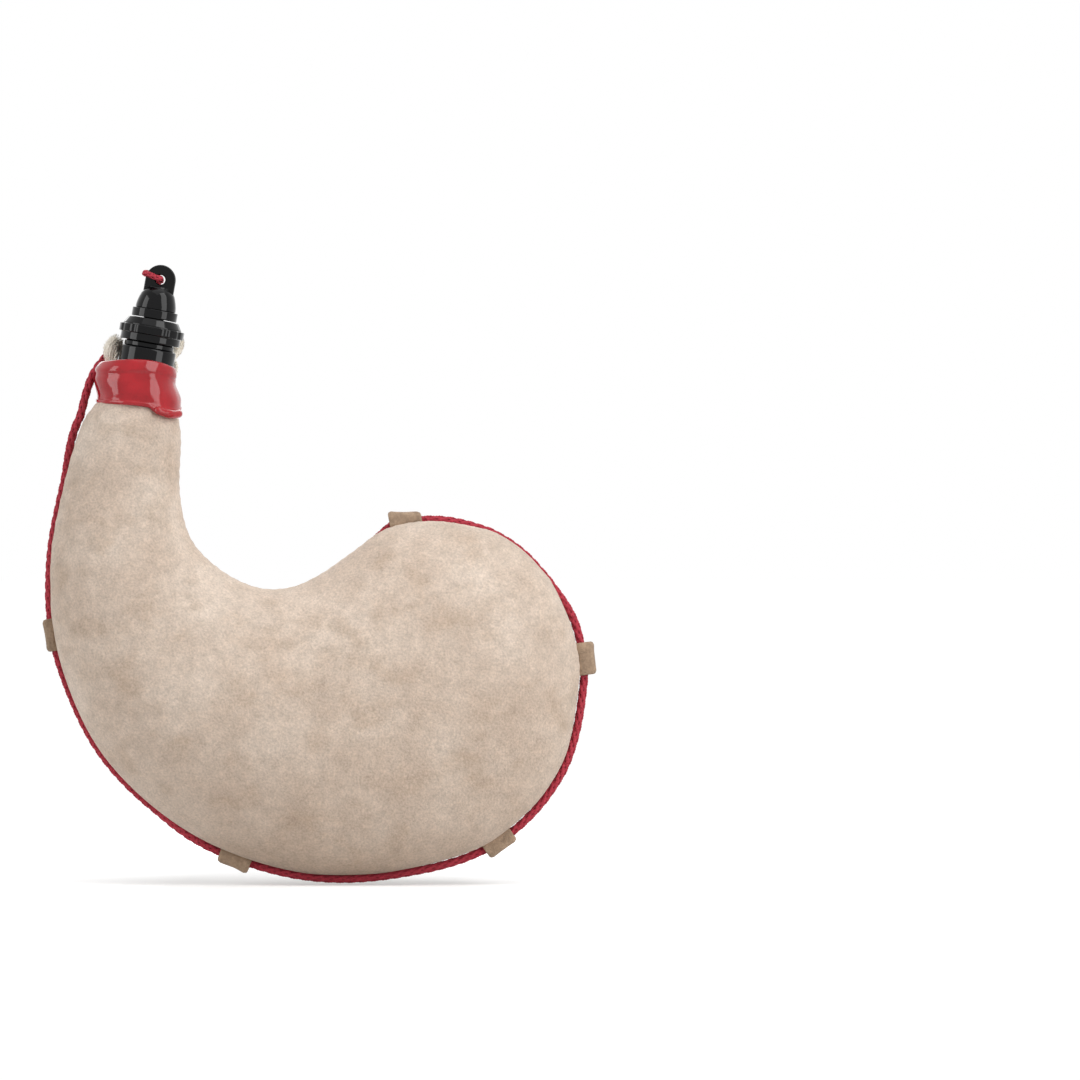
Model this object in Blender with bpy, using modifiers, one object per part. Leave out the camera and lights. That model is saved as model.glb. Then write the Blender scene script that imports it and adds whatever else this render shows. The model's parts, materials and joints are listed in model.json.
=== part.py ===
"""Leather bota bag: a curved wine skin with a screw mouthpiece, a cap on a leash and a carrying strap.

Lengths are in metres, +Z is up, and the front panel faces -Y. The origin is on the ground under
the middle of the bag. The bag's outline is a loft between an outer edge and an inner edge, and the
nozzle's turned pieces stand on the neck axis, which leans to the right.
"""

import math

import bmesh
import bpy
from mathutils import Vector

MM = 0.001

# Leather bag
BAG_WIDTH = 243.0 * MM
BAG_HEIGHT = 216.7 * MM
BAG_HALF_DEPTH = 35.0 * MM
BAG_X = 0.95 * MM
LEATHER = 2.0 * MM
SEAM_MARGIN = 5.0 * MM
SEAM_HALF_GAP = 1.3 * MM
EDGE_FULLNESS = 0.62

# Neck of the bag
NECK_LEAN = math.radians(10.0)
NECK_X = -0.3428 * BAG_WIDTH
NECK_LEATHER = 1.8 * MM
NECK_RIM = 0.8 * MM
NECK_TOP = 17.5 * MM
NECK_RADIUS = 13.75 * MM
NECK_FLARE_START = 5.0 * MM
NECK_MOUTH_RADIUS = 17.9 * MM

# Inner liner
LINER_WALL = 0.8 * MM
LINER_CLEARANCE = 0.35 * MM
LINER_TOP = 16.8 * MM

# Neck insert
INSERT_BORE = 8.0 * MM
INSERT_STEM_RADIUS = 9.8 * MM
INSERT_BEAD = 0.5 * MM
INSERT_BEAD_LENGTH = 1.4 * MM
INSERT_LOW_BEAD_Z = 3.2 * MM
INSERT_HIGH_BEAD_Z = 13.6 * MM
INSERT_BOTTOM = -8.0 * MM
INSERT_SHOULDER_Z = 17.9 * MM
INSERT_BODY_RADIUS = 12.9 * MM
INSERT_BODY_TOP = 26.4 * MM
INSERT_CHAMFER = 0.8 * MM
INSERT_GROOVE_RADIUS = 11.5 * MM
INSERT_GROOVE_TOP = 28.4 * MM
SPIGOT_RADIUS = 10.6 * MM
SPIGOT_TOP = 36.0 * MM

# Mouthpiece
THREAD_CLEARANCE = 0.35 * MM
SEAL_GAP = 0.3 * MM
NUT_BOTTOM = 28.7 * MM
NUT_RADIUS = 13.8 * MM
NUT_RIDGE_BOTTOM = 32.2 * MM
NUT_RIDGE_RADIUS = 14.95 * MM
NUT_RIDGE_TOP = 35.9 * MM
NUT_SHOULDER_RADIUS = 13.5 * MM
NUT_TOP = 39.6 * MM
NUT_TOP_RADIUS = 11.5 * MM
NUT_EDGE = 0.4 * MM
NUT_NOTCH_DEPTH = 0.5 * MM
NUT_NOTCH_EVERY = 3
SPOUT_RADIUS = 4.5 * MM
SPOUT_TOP = 47.3 * MM
SPOUT_JET_RADIUS = 1.3 * MM
GASKET_THICKNESS = 1.0 * MM
GASKET_INNER_RADIUS = 7.0 * MM

# Cap
CAP_BOTTOM = 39.9 * MM
CAP_FLANGE_RADIUS = 10.5 * MM
CAP_FLANGE_HEIGHT = 4.1 * MM
CAP_EDGE = 0.4 * MM
CAP_DOME_RADIUS = 9.4 * MM
CAP_DOME_HEIGHT = 11.4 * MM
CAP_DOME_SHARES = [(0.97, 0.22), (0.9, 0.45), (0.79, 0.68), (0.62, 0.84), (0.38, 0.95)]
CAP_TAB_WIDTH = 14.0 * MM
CAP_TAB_THICKNESS = 5.0 * MM
CAP_TAB_BOTTOM = 49.8 * MM
CAP_TOP = 65.0 * MM
EYELET_RADIUS = 2.2 * MM
EYELET_BELOW_TOP = 6.9 * MM
CAP_WASHER_THICKNESS = 1.0 * MM

# Binding, collar and its tail
BINDING_CORD = 1.9 * MM
BINDING_TURNS = 5
BINDING_BOTTOM = 5.2 * MM
BINDING_INNER_RADIUS = 14.7 * MM
BINDING_OUTER_RADIUS = 16.3 * MM
COLLAR_HEIGHT = 21.4 * MM
COLLAR_RADIUS = 19.9 * MM
COLLAR_OUTER_SHARES = [
    (0.80, 1.0), (0.845, 0.98), (0.875, 0.89), (0.905, 0.75), (0.905, 0.63),
    (0.95, 0.47), (0.985, 0.28), (0.98, 0.12), (1.0, 0.075), (1.0, 0.03), (0.975, 0.0),
]
COLLAR_INNER_SHARES = [(0.94, 0.0), (0.92, 0.14), (0.855, 0.45), (0.84, 0.7), (0.79, 0.87), (0.775, 1.0)]
TAIL_RADIUS = 2.3 * MM
TAIL_DROP = 2.9 * MM
TAIL_STAND_OFF = 22.1 * MM
TAIL_START = math.radians(24.0)
TAIL_END = math.radians(78.0)

# Cords
SEAM_CORD_RADIUS = 1.0 * MM
SEAM_CORD_INSET = 1.2 * MM
STRAP_RADIUS = 2.1 * MM
LEASH_RADIUS = 1.6 * MM
CORD_GAP = 0.3 * MM
POINT_SPACING = 2.2
STRAP_STEP = 3.0 * MM
STRAP_RAMP = 32.0 * MM
STRAP_START = 12.0 * MM

# Strap loops
LOOP_LENGTH = 15.0 * MM
LOOP_LEATHER = 1.2 * MM
LOOP_SLACK = 0.3 * MM
LOOP_CORNER = 1.8 * MM

# Knots
STRAP_KNOT_SIZE = 1.48 * MM
END_KNOT_SIZE = 1.62 * MM
LEASH_KNOT_SIZE = 1.2 * MM
BRAID_KNOT_SIZE = 1.15 * MM
KNOT_CORD_SHARE = 0.66
KNOT_DEPTH_SHARE = 1.5

# Fineness
ROUND_STEPS = 24
FINE_STEPS = 36
ACROSS = 12
LINER_STEPS = 18
SECTIONS_PER_ROW = 2
KNOT_POINTS = 27

# Outline rows from the neck to the tip: outer edge x and z, inner edge x and z, depth, as shares
# of BAG_WIDTH, BAG_HEIGHT and BAG_HALF_DEPTH.
ROW_SHARES = [
    (-0.452, 0.953, -0.263, 0.928, 0.56),
    (-0.488, 0.811, -0.265, 0.811, 0.64),
    (-0.510, 0.652, -0.244, 0.715, 0.75),
    (-0.493, 0.461, -0.189, 0.650, 0.86),
    (-0.407, 0.251, -0.121, 0.6125, 0.95),
    (-0.244, 0.090, -0.059, 0.6115, 1.0),
    (-0.045, 0.0085, -0.002, 0.638, 1.0),
    (0.144, 0.0096, 0.059, 0.685, 0.98),
    (0.327, 0.074, 0.127, 0.737, 0.91),
    (0.452, 0.221, 0.214, 0.753, 0.77),
    (0.491, 0.408, 0.308, 0.737, 0.54),
    (0.482, 0.507, 0.346, 0.720, 0.43),
    (0.458, 0.580, 0.378, 0.696, 0.28),
    (0.436, 0.6285, 0.401, 0.673, 0.0),
]
# Loops: place on the edge, and how far the first and the last end stand off the strap, as shares
# of the bag's size and of the strap's radius.
LOOP_SHARES = {
    "loop_left": (-0.509, 0.51, 0.1, 0.1),
    "loop_bottom_left": (-0.161, 0.034, 0.45, 0.45),
    "loop_bottom_right": (0.335, 0.078, 0.45, 0.45),
    "loop_right": (0.492, 0.459, 0.9, 0.9),
    "loop_top": (0.163, 0.749, 0.2, 0.8),
}
# Strap in the middle of each span between the loops: out from the edge, and behind the seam.
STRAP_SPANS = [
    (0.1 * MM, 11.6 * MM),
    (1.0 * MM, 10.4 * MM),
    (2.4 * MM, 0.0 * MM),
    (2.4 * MM, 0.0 * MM),
    (-0.4 * MM, 13.1 * MM),
]
# Strap between the edge of the bag and its knot at the neck: across, back and along the neck axis.
STRAP_NECK_ROUTE = [
    (-16.4 * MM, 13.3 * MM, 25.4 * MM),
    (-18.9 * MM, 11.4 * MM, 23.6 * MM),
    (-21.2 * MM, 8.7 * MM, 20.6 * MM),
    (-22.2 * MM, 4.6 * MM, 16.2 * MM),
    (-22.8 * MM, 1.6 * MM, 9.0 * MM),
    (-23.7 * MM, 0.0 * MM, -1.5 * MM),
]
# Strap from the top loop over the inner edge to its end knot on the back, as shares of the
# bag's width, height and half depth.
STRAP_END_ROUTE = [
    (0.082, 0.716, 0.217),
    (0.076, 0.698, 0.377),
    (0.073, 0.680, 0.497),
]
STRAP_END_KNOT_SHARES = (0.071, 0.652, 0.503)
STRAP_END_KNOT_STAND_OFF = 3.7 * MM
NECK_KNOT_RADIUS = 18.9 * MM
NECK_KNOT_ANGLE = math.radians(213.0)
NECK_KNOT_Z = 25.8 * MM
# Leash: across, back and along the neck axis, from its tail behind the tab to the neck knot.
LEASH_ROUTE = [
    (-1.0 * MM, 13.4 * MM, 54.0 * MM),
    (-0.6 * MM, 15.0 * MM, 50.0 * MM),
    (0.2 * MM, 17.2 * MM, 46.0 * MM),
    (1.0 * MM, 18.3 * MM, 41.0 * MM),
    (2.4 * MM, 19.4 * MM, 33.0 * MM),
    (3.6 * MM, 20.8 * MM, 25.0 * MM),
    (5.0 * MM, 22.6 * MM, 16.0 * MM),
    (5.6 * MM, 23.8 * MM, 6.0 * MM),
    (4.2 * MM, 24.4 * MM, -2.0 * MM),
    (0.2 * MM, 24.8 * MM, -5.6 * MM),
    (-4.2 * MM, 24.6 * MM, -3.0 * MM),
    (-6.6 * MM, 23.8 * MM, 4.0 * MM),
    (-7.8 * MM, 22.6 * MM, 12.0 * MM),
    (-8.8 * MM, 20.6 * MM, 18.5 * MM),
]
LEASH_KNOT = (-1.5 * MM, 12.6 * MM, 58.8 * MM)
LEASH_EYE_END = 9.5 * MM
# Seam cord above the neck: across, back and along the neck axis.
SEAM_CORD_LEFT_END = [
    (-14.9 * MM, 1.9 * MM, 23.4 * MM),
    (-14.2 * MM, 0.6 * MM, 21.6 * MM),
    (-14.2 * MM, 0.0 * MM, 18.0 * MM),
]
SEAM_CORD_RIGHT_END = [
    (14.2 * MM, 0.0 * MM, 18.0 * MM),
    (14.1 * MM, 1.8 * MM, 21.6 * MM),
    (13.6 * MM, 4.8 * MM, 23.2 * MM),
    (12.6 * MM, 7.6 * MM, 24.0 * MM),
]
BRAID_KNOT_LEFT = (-18.2 * MM, 4.5 * MM, 26.0 * MM)
BRAID_KNOT_RIGHT = (12.4 * MM, 12.6 * MM, 27.2 * MM)

BASE = 2.0 * STRAP_RADIUS + 0.4 * CORD_GAP
BINDING_TOP = BINDING_BOTTOM + BINDING_TURNS * BINDING_CORD
NECK_Z = BASE + BAG_HEIGHT
NOZZLE_AXIS = Vector((math.sin(NECK_LEAN), 0.0, math.cos(NECK_LEAN)))
NOZZLE_ACROSS = Vector((math.cos(NECK_LEAN), 0.0, -math.sin(NECK_LEAN)))
NECK_ORIGIN = Vector((BAG_X + NECK_X, 0.0, NECK_Z))

for old in list(bpy.data.objects):
    bpy.data.objects.remove(old, do_unlink=True)

bag_collection = bpy.data.collections.new("bota_bag")
cutter_collection = bpy.data.collections.new("cutters")
bpy.context.scene.collection.children.link(bag_collection)
bpy.context.scene.collection.children.link(cutter_collection)


def material(name, colour, roughness, metallic=0.0):
    made = bpy.data.materials.new(name)
    made.use_nodes = True
    shader = made.node_tree.nodes["Principled BSDF"]
    shader.inputs["Base Color"].default_value = (*colour, 1.0)
    shader.inputs["Roughness"].default_value = roughness
    shader.inputs["Metallic"].default_value = metallic
    return made


def suede(name):
    return material(name, (0.62, 0.50, 0.40), 0.95)


def natural_cord(name):
    return material(name, (0.76, 0.72, 0.62), 0.9)


def red_braid(name):
    return material(name, (0.31, 0.02, 0.035), 0.7)


def red_gloss(name):
    return material(name, (0.55, 0.02, 0.03), 0.2)


def black_gloss(name):
    return material(name, (0.012, 0.012, 0.013), 0.18)


def grey_rubber(name):
    return material(name, (0.05, 0.05, 0.05), 0.8)


def latex(name):
    return material(name, (0.10, 0.07, 0.05), 0.6)


def neck_point(across, back, along):
    return NECK_ORIGIN + NOZZLE_ACROSS * across + NOZZLE_AXIS * along + Vector((0.0, back, 0.0))


def outline_point(x_share, z_share, y_share=0.0):
    return Vector((
        BAG_X + x_share * BAG_WIDTH, y_share * BAG_HALF_DEPTH, BASE + z_share * BAG_HEIGHT,
    ))


def smooth_curve(points, per_span):
    """A Catmull-Rom curve through the points."""
    ends = [points[0] * 2 - points[1], *points, points[-1] * 2 - points[-2]]
    result = []
    for i in range(1, len(ends) - 2):
        a, b, c, d = ends[i - 1:i + 3]
        for step in range(per_span):
            t = step / per_span
            result.append(0.5 * (
                2 * b + (c - a) * t + (2 * a - 5 * b + 4 * c - d) * t ** 2
                + (3 * b - a - 3 * c + d) * t ** 3
            ))
    result.append(points[-1].copy())
    return result


def evenly_spaced(points, spacing):
    """Points along the polyline, about one spacing apart."""
    lengths = [0.0]
    for a, b in zip(points, points[1:]):
        lengths.append(lengths[-1] + (b - a).length)
    count = max(2, round(lengths[-1] / spacing))
    result = []
    span = 0
    for i in range(count + 1):
        target = lengths[-1] * i / count
        while span < len(points) - 2 and lengths[span + 1] < target:
            span += 1
        share = (target - lengths[span]) / (lengths[span + 1] - lengths[span])
        result.append(points[span].lerp(points[span + 1], min(1.0, share)))
    return result


def link(obj, collection, parent=None, place=Vector()):
    collection.objects.link(obj)
    obj.parent = parent
    obj.location = place
    return obj


def mesh_object(name, bm, surface, parent=None, place=Vector(), collection=bag_collection):
    mesh = bpy.data.meshes.new(name)
    bmesh.ops.recalc_face_normals(bm, faces=bm.faces[:])
    bm.to_mesh(mesh)
    bm.free()
    mesh.shade_smooth()
    mesh.set_sharp_from_angle(angle=math.radians(35.0))
    mesh.materials.append(surface)
    return link(bpy.data.objects.new(name, mesh), collection, parent, place)


def empty(name, parent, place, lean=0.0):
    made = link(bpy.data.objects.new(name, None), bag_collection, parent, place)
    made.rotation_euler = (0.0, lean, 0.0)
    made.empty_display_size = CAP_FLANGE_RADIUS
    return made


def tube(name, points, radius, surface, sides=2, closed=False):
    curve = bpy.data.curves.new(name, "CURVE")
    curve.dimensions = "3D"
    curve.resolution_u = 1
    curve.render_resolution_u = 0
    curve.bevel_depth = radius
    curve.bevel_resolution = sides
    curve.use_fill_caps = not closed
    spline = curve.splines.new("POLY")
    spline.points.add(len(points) - 1)
    for target, point in zip(spline.points, points):
        target.co = (*point, 1.0)
    spline.use_cyclic_u = closed
    curve.materials.append(surface)
    return link(bpy.data.objects.new(name, curve), bag_collection)


def turned(name, profile, steps, surface, parent, collection=bag_collection):
    """A closed profile in the XZ plane, turned about the parent's Z axis."""
    mesh = bpy.data.meshes.new(name)
    edges = [(i, (i + 1) % len(profile)) for i in range(len(profile))]
    mesh.from_pydata([(r, 0.0, z) for r, z in profile], edges, [])
    mesh.materials.append(surface)
    made = link(bpy.data.objects.new(name, mesh), collection, parent)
    screw = made.modifiers.new("turn", "SCREW")
    screw.steps = steps
    screw.render_steps = steps
    screw.use_merge_vertices = True
    screw.merge_threshold = 0.01 * MM
    screw.use_smooth_shade = True
    return made


def evaluated_copy(source, name):
    """The object's mesh as modelled, as a new mesh object in the same place."""
    bpy.context.view_layer.update()
    graph = bpy.context.evaluated_depsgraph_get()
    mesh = bpy.data.meshes.new_from_object(source.evaluated_get(graph))
    made = bpy.data.objects.new(name, mesh)
    bag_collection.objects.link(made)
    made.parent = source.parent
    made.matrix_world = source.matrix_world
    bpy.data.objects.remove(source, do_unlink=True)
    return made


def cut(target, cutter, operation="DIFFERENCE"):
    boolean = target.modifiers.new(cutter.name, "BOOLEAN")
    boolean.operation = operation
    boolean.object = cutter
    boolean.solver = "EXACT"
    cutter.hide_render = True
    cutter.display_type = "WIRE"


class Section:
    """One cross-section of the bag, between its outer edge and its inner edge."""

    def __init__(self, outer, inner, depth, share):
        self.outer = outer
        self.inner = inner
        self.depth = depth
        self.margin = NECK_LEATHER + (SEAM_MARGIN - NECK_LEATHER) * share
        self.rim = NECK_RIM + (LEATHER - NECK_RIM) * share
        self.wall = NECK_LEATHER + (LEATHER - NECK_LEATHER) * share
        self.power = 0.5 + (EDGE_FULLNESS - 0.5) * share

    def centre(self):
        return (self.outer + self.inner) / 2

    def half_width(self):
        return (self.inner - self.outer).length / 2

    def across(self):
        return (self.inner - self.outer).normalized()

    def fullness(self, u):
        return max(0.0, 1 - u * u) ** self.power

    def place(self, offset, y):
        return self.centre() + self.across() * offset + Vector((0.0, y, 0.0))


def neck_section(along, radius):
    half = NOZZLE_ACROSS * radius
    centre = neck_point(0.0, 0.0, along)
    return Section(centre - half, centre + half, radius - SEAM_HALF_GAP, 0.0)


def bag_sections():
    """Sections from the top of the neck to the tip of the bag."""
    mouth = neck_section(0.0, NECK_MOUTH_RADIUS)
    rows = [(mouth.outer, mouth.inner, mouth.depth)]
    for outer_x, outer_z, inner_x, inner_z, depth in ROW_SHARES:
        rows.append((
            outline_point(outer_x, outer_z),
            outline_point(inner_x, inner_z),
            max(LEATHER, depth * BAG_HALF_DEPTH),
        ))
    outers = smooth_curve([row[0] for row in rows], SECTIONS_PER_ROW)
    inners = smooth_curve([row[1] for row in rows], SECTIONS_PER_ROW)
    depths = smooth_curve([Vector((row[2], 0.0, 0.0)) for row in rows], SECTIONS_PER_ROW)
    sections = [
        neck_section(NECK_TOP, NECK_RADIUS),
        neck_section(NECK_FLARE_START, NECK_RADIUS),
    ]
    for i, (outer, inner, depth) in enumerate(zip(outers, inners, depths)):
        share = min(1.0, (i + 1) / (2.0 * SECTIONS_PER_ROW))
        sections.append(Section(outer, inner, max(LEATHER, depth.x), share))
    return sections


def loft(bm, rings, cap_start=True, cap_end=True):
    rows = [[bm.verts.new(point) for point in ring] for ring in rings]
    count = len(rows[0])
    for a, b in zip(rows, rows[1:]):
        for i in range(count):
            j = (i + 1) % count
            bm.faces.new((a[i], a[j], b[j], b[i]))
    if cap_start:
        bm.faces.new(rows[0])
    if cap_end:
        bm.faces.new(rows[-1])
    return rows


def leather_panel(name, side, sections):
    """Half of the bag's leather: a lofted shell whose rim lies beside the seam plane."""
    stations = [-math.cos(math.pi * i / ACROSS) for i in range(ACROSS + 1)]
    rings = []
    for index, section in enumerate(sections):
        half = section.half_width()
        hollow_half = half - section.margin
        solid_end = index >= len(sections) - 2
        hollow_depth = 0.0 if solid_end else section.depth - section.wall
        ring = [section.place(-half, side * SEAM_HALF_GAP)]
        for u in stations:
            height = section.rim + (section.depth - section.rim) * section.fullness(u)
            ring.append(section.place(half * u, side * (SEAM_HALF_GAP + height)))
        ring.append(section.place(half, side * SEAM_HALF_GAP))
        for u in reversed(stations):
            height = hollow_depth * section.fullness(u)
            ring.append(section.place(hollow_half * u, side * (SEAM_HALF_GAP + height)))
        rings.append(ring)
    bm = bmesh.new()
    loft(bm, rings)
    return mesh_object(name, bm, suede(name))


def inner_liner(sections):
    """The bladder: a thin-walled bag inside the leather, open at the neck."""
    around = [2 * math.pi * i / LINER_STEPS for i in range(LINER_STEPS)]
    top = neck_section(LINER_TOP, NECK_RADIUS)
    used = [top, *sections[1:-6]]

    def ring(section, inset):
        half = section.half_width() - section.margin - inset
        depth = SEAM_HALF_GAP + section.depth - section.wall - inset
        return [
            section.place(
                half * math.cos(angle),
                depth * section.fullness(math.cos(angle)) * math.copysign(1.0, math.sin(angle)),
            )
            for angle in around
        ]

    bm = bmesh.new()
    outside = loft(bm, [ring(s, LINER_CLEARANCE) for s in used], cap_start=False)
    inside_rings = [ring(s, LINER_CLEARANCE + LINER_WALL) for s in used[:-1]]
    inside = loft(bm, inside_rings, cap_start=False)
    count = len(around)
    for i in range(count):
        j = (i + 1) % count
        bm.faces.new((outside[0][i], outside[0][j], inside[0][j], inside[0][i]))
    return mesh_object("inner_liner", bm, latex("inner_liner"))


def edge_line(sections):
    """The bag's edge in the seam plane, from the neck's left side round the tip to its right side."""
    return [s.outer for s in sections] + [s.inner for s in reversed(sections)]


def offset_line(points, distance):
    """The line moved outwards, square to itself. Outwards is to the left of its direction."""
    moved = []
    for i, point in enumerate(points):
        before = points[max(0, i - 1)]
        after = points[min(len(points) - 1, i + 1)]
        along = (after - before).normalized()
        outwards = Vector((along.z, 0.0, -along.x))
        moved.append(point + outwards * distance)
    return moved


def nearest_on(points, target):
    """The place on the polyline that is nearest to the target, its direction and its span."""
    best = None
    for i, (a, b) in enumerate(zip(points, points[1:])):
        along = b - a
        share = min(1.0, max(0.0, (target - a).dot(along) / along.length_squared))
        place = a + along * share
        far = (target - place).length
        if best is None or far < best[0]:
            best = (far, place, along.normalized(), i)
    return best[1:]


def seam_braid(sections):
    """The cord sewn between the two panels' rims, with both ends coming out at the neck."""
    line = offset_line(edge_line(sections[1:]), -SEAM_CORD_INSET)
    wall = NECK_RADIUS - NECK_LEATHER / 2
    rise = [neck_point(wall, 0.0, NECK_FLARE_START), neck_point(wall, 0.0, BINDING_TOP)]
    fall = [neck_point(-wall, 0.0, BINDING_TOP), neck_point(-wall, 0.0, NECK_FLARE_START)]
    left = [neck_point(*point) for point in SEAM_CORD_LEFT_END]
    right = [neck_point(*point) for point in SEAM_CORD_RIGHT_END]
    route = left + fall + line[1:-1] + rise + right
    return tube("seam_braid", route, SEAM_CORD_RADIUS, natural_cord("seam_braid"), sides=1)


def strap_line(sections):
    """The strap's centreline: down from the neck, round the edge through the loops, to the back.

    It lies on the edge at the loops. Between some of them it slips behind the bag's swelling.
    """
    edge = evenly_spaced(edge_line(sections[2:]), STRAP_STEP)
    stops = [nearest_on(edge, outline_point(x, z))[2] for x, z, _, _ in LOOP_SHARES.values()]
    clear = STRAP_RADIUS + 1.6 * CORD_GAP
    first = round(STRAP_START / STRAP_STEP)
    reach = LOOP_LENGTH / 2 + STRAP_STEP
    route = [neck_point(*point) for point in STRAP_NECK_ROUTE]
    last = stops[-1] + round(reach / STRAP_STEP) + 2
    for i in range(first, last + 1):
        span = sum(1 for stop in stops if stop < i)
        gaps = [abs(i - stop) * STRAP_STEP - reach for stop in stops]
        gaps.append((i - first) * STRAP_STEP)
        ramp = min(1.0, max(0.0, min(gaps) / STRAP_RAMP))
        ramp = ramp * ramp * (3 - 2 * ramp)
        out, back = STRAP_SPANS[min(span, len(STRAP_SPANS) - 1)]
        along = (edge[i + 1] - edge[i - 1]).normalized()
        outwards = Vector((along.z, 0.0, -along.x))
        behind = Vector((0.0, back * ramp, 0.0))
        route.append(edge[i] + outwards * (clear + (out - clear) * ramp ** 3) + behind)
    route += [outline_point(*shares) for shares in STRAP_END_ROUTE]
    return route


def strap_cord(sections):
    route = evenly_spaced(smooth_curve(strap_line(sections), 2), POINT_SPACING * 2 * STRAP_RADIUS)
    return tube("strap_cord", route, STRAP_RADIUS, red_braid("strap_cord"))


def knot(name, centre, facing, size, surface):
    """An overhand knot, drawn tight: a trefoil tube that faces the given direction.

    Its turns pass each other about 1.45 sizes apart, so the cord is thinner than that.
    """
    turn = facing.to_track_quat("Z", "Y")
    points = []
    for i in range(KNOT_POINTS):
        t = 2 * math.pi * i / KNOT_POINTS
        local = Vector((
            math.sin(t) + 2 * math.sin(2 * t),
            math.cos(t) - 2 * math.cos(2 * t),
            -KNOT_DEPTH_SHARE * math.sin(3 * t),
        )) * size
        points.append(centre + turn @ local)
    return tube(name, points, size * KNOT_CORD_SHARE, surface, sides=1, closed=True)


def loop_outline(slack):
    """The strip's section: distances out from the leather's edge and from the seam plane."""
    inner_half = STRAP_RADIUS + LOOP_SLACK
    outer_half = inner_half + LOOP_LEATHER
    inner_reach = 2 * STRAP_RADIUS + CORD_GAP + LOOP_SLACK + slack
    outer_reach = inner_reach + LOOP_LEATHER
    corner_steps = 4

    def side(reach, half, radius):
        points = [(CORD_GAP, half)]
        for i in range(corner_steps + 1):
            angle = math.pi / 2 * i / corner_steps
            points.append((
                reach - radius + radius * math.sin(angle),
                half - radius + radius * math.cos(angle),
            ))
        return points

    outer = side(outer_reach, outer_half, LOOP_CORNER)
    inner = side(inner_reach, inner_half, LOOP_CORNER - LOOP_LEATHER / 2)
    outer_ring = outer + [(n, -y) for n, y in reversed(outer)]
    inner_ring = inner + [(n, -y) for n, y in reversed(inner)]
    return outer_ring + list(reversed(inner_ring))


def strap_loop(name, sections):
    """A strip of leather folded over the strap, its two ends against the bag's seam."""
    x_share, z_share, first_slack, last_slack = LOOP_SHARES[name]
    edge = edge_line(sections)
    place, along, _ = nearest_on(edge, outline_point(x_share, z_share))
    outwards = Vector((along.z, 0.0, -along.x))
    rings = []
    for end, slack in ((-0.5, first_slack), (0.5, last_slack)):
        middle = place + along * LOOP_LENGTH * end
        outline = loop_outline(slack * STRAP_RADIUS)
        rings.append([middle + outwards * n + Vector((0.0, y, 0.0)) for n, y in outline])
    bm = bmesh.new()
    loft(bm, rings)
    return mesh_object(name, bm, suede(name))


def neck_binding(parent):
    """Turns of twine that press the leather and the liner onto the neck insert."""
    bulge = BINDING_OUTER_RADIUS - BINDING_INNER_RADIUS
    profile = [(BINDING_INNER_RADIUS, BINDING_TOP)]
    for turn in range(BINDING_TURNS):
        high = BINDING_TOP - turn * BINDING_CORD
        profile += [
            (BINDING_INNER_RADIUS + bulge * 0.45, high),
            (BINDING_INNER_RADIUS + bulge * 0.9, high - BINDING_CORD * 0.25),
            (BINDING_OUTER_RADIUS, high - BINDING_CORD * 0.5),
            (BINDING_INNER_RADIUS + bulge * 0.9, high - BINDING_CORD * 0.75),
        ]
    profile += [(BINDING_INNER_RADIUS + bulge * 0.45, BINDING_BOTTOM), (BINDING_INNER_RADIUS, BINDING_BOTTOM)]
    return turned("neck_binding", profile, ROUND_STEPS, natural_cord("neck_binding"), parent)


def red_collar(parent):
    shares = COLLAR_OUTER_SHARES + COLLAR_INNER_SHARES
    profile = [(r * COLLAR_RADIUS, z * COLLAR_HEIGHT) for r, z in shares]
    return turned("red_collar", profile, FINE_STEPS, red_gloss("red_collar"), parent)


def collar_tail():
    """The rounded end that sticks out under the collar, lying along the leather."""
    points = []
    steps = 9
    for i in range(steps + 1):
        angle = TAIL_START + (TAIL_END - TAIL_START) * i / steps
        across = TAIL_STAND_OFF * math.sin(angle)
        back = -TAIL_STAND_OFF * math.cos(angle)
        points.append(neck_point(across, back, -TAIL_DROP))
    return tube("collar_tail", points, TAIL_RADIUS, red_gloss("collar_tail"), sides=3)


def neck_insert(parent):
    """The threaded insert that the bag's neck is bound onto."""
    bead = INSERT_STEM_RADIUS + INSERT_BEAD
    slope = INSERT_BEAD * 0.7
    profile = [
        (SPIGOT_RADIUS - NUT_EDGE, SPIGOT_TOP),
        (SPIGOT_RADIUS, SPIGOT_TOP - NUT_EDGE),
        (SPIGOT_RADIUS, INSERT_GROOVE_TOP),
        (INSERT_GROOVE_RADIUS, INSERT_GROOVE_TOP),
        (INSERT_GROOVE_RADIUS, INSERT_BODY_TOP),
        (INSERT_BODY_RADIUS - INSERT_CHAMFER, INSERT_BODY_TOP),
        (INSERT_BODY_RADIUS, INSERT_BODY_TOP - INSERT_CHAMFER),
        (INSERT_BODY_RADIUS, INSERT_SHOULDER_Z),
        (INSERT_STEM_RADIUS, INSERT_SHOULDER_Z),
    ]
    for bead_z in (INSERT_HIGH_BEAD_Z, INSERT_LOW_BEAD_Z):
        profile += [
            (INSERT_STEM_RADIUS, bead_z + INSERT_BEAD_LENGTH + slope),
            (bead, bead_z + INSERT_BEAD_LENGTH),
            (bead, bead_z),
            (INSERT_STEM_RADIUS, bead_z - slope),
        ]
    profile += [
        (INSERT_STEM_RADIUS, INSERT_BOTTOM + INSERT_BEAD),
        (INSERT_STEM_RADIUS - INSERT_BEAD, INSERT_BOTTOM),
        (INSERT_BORE, INSERT_BOTTOM),
        (INSERT_BORE, SPIGOT_TOP),
    ]
    return turned("neck_insert", profile, FINE_STEPS, black_gloss("neck_insert"), parent)


def gasket_top():
    return SPIGOT_TOP + SEAL_GAP + GASKET_THICKNESS


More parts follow.
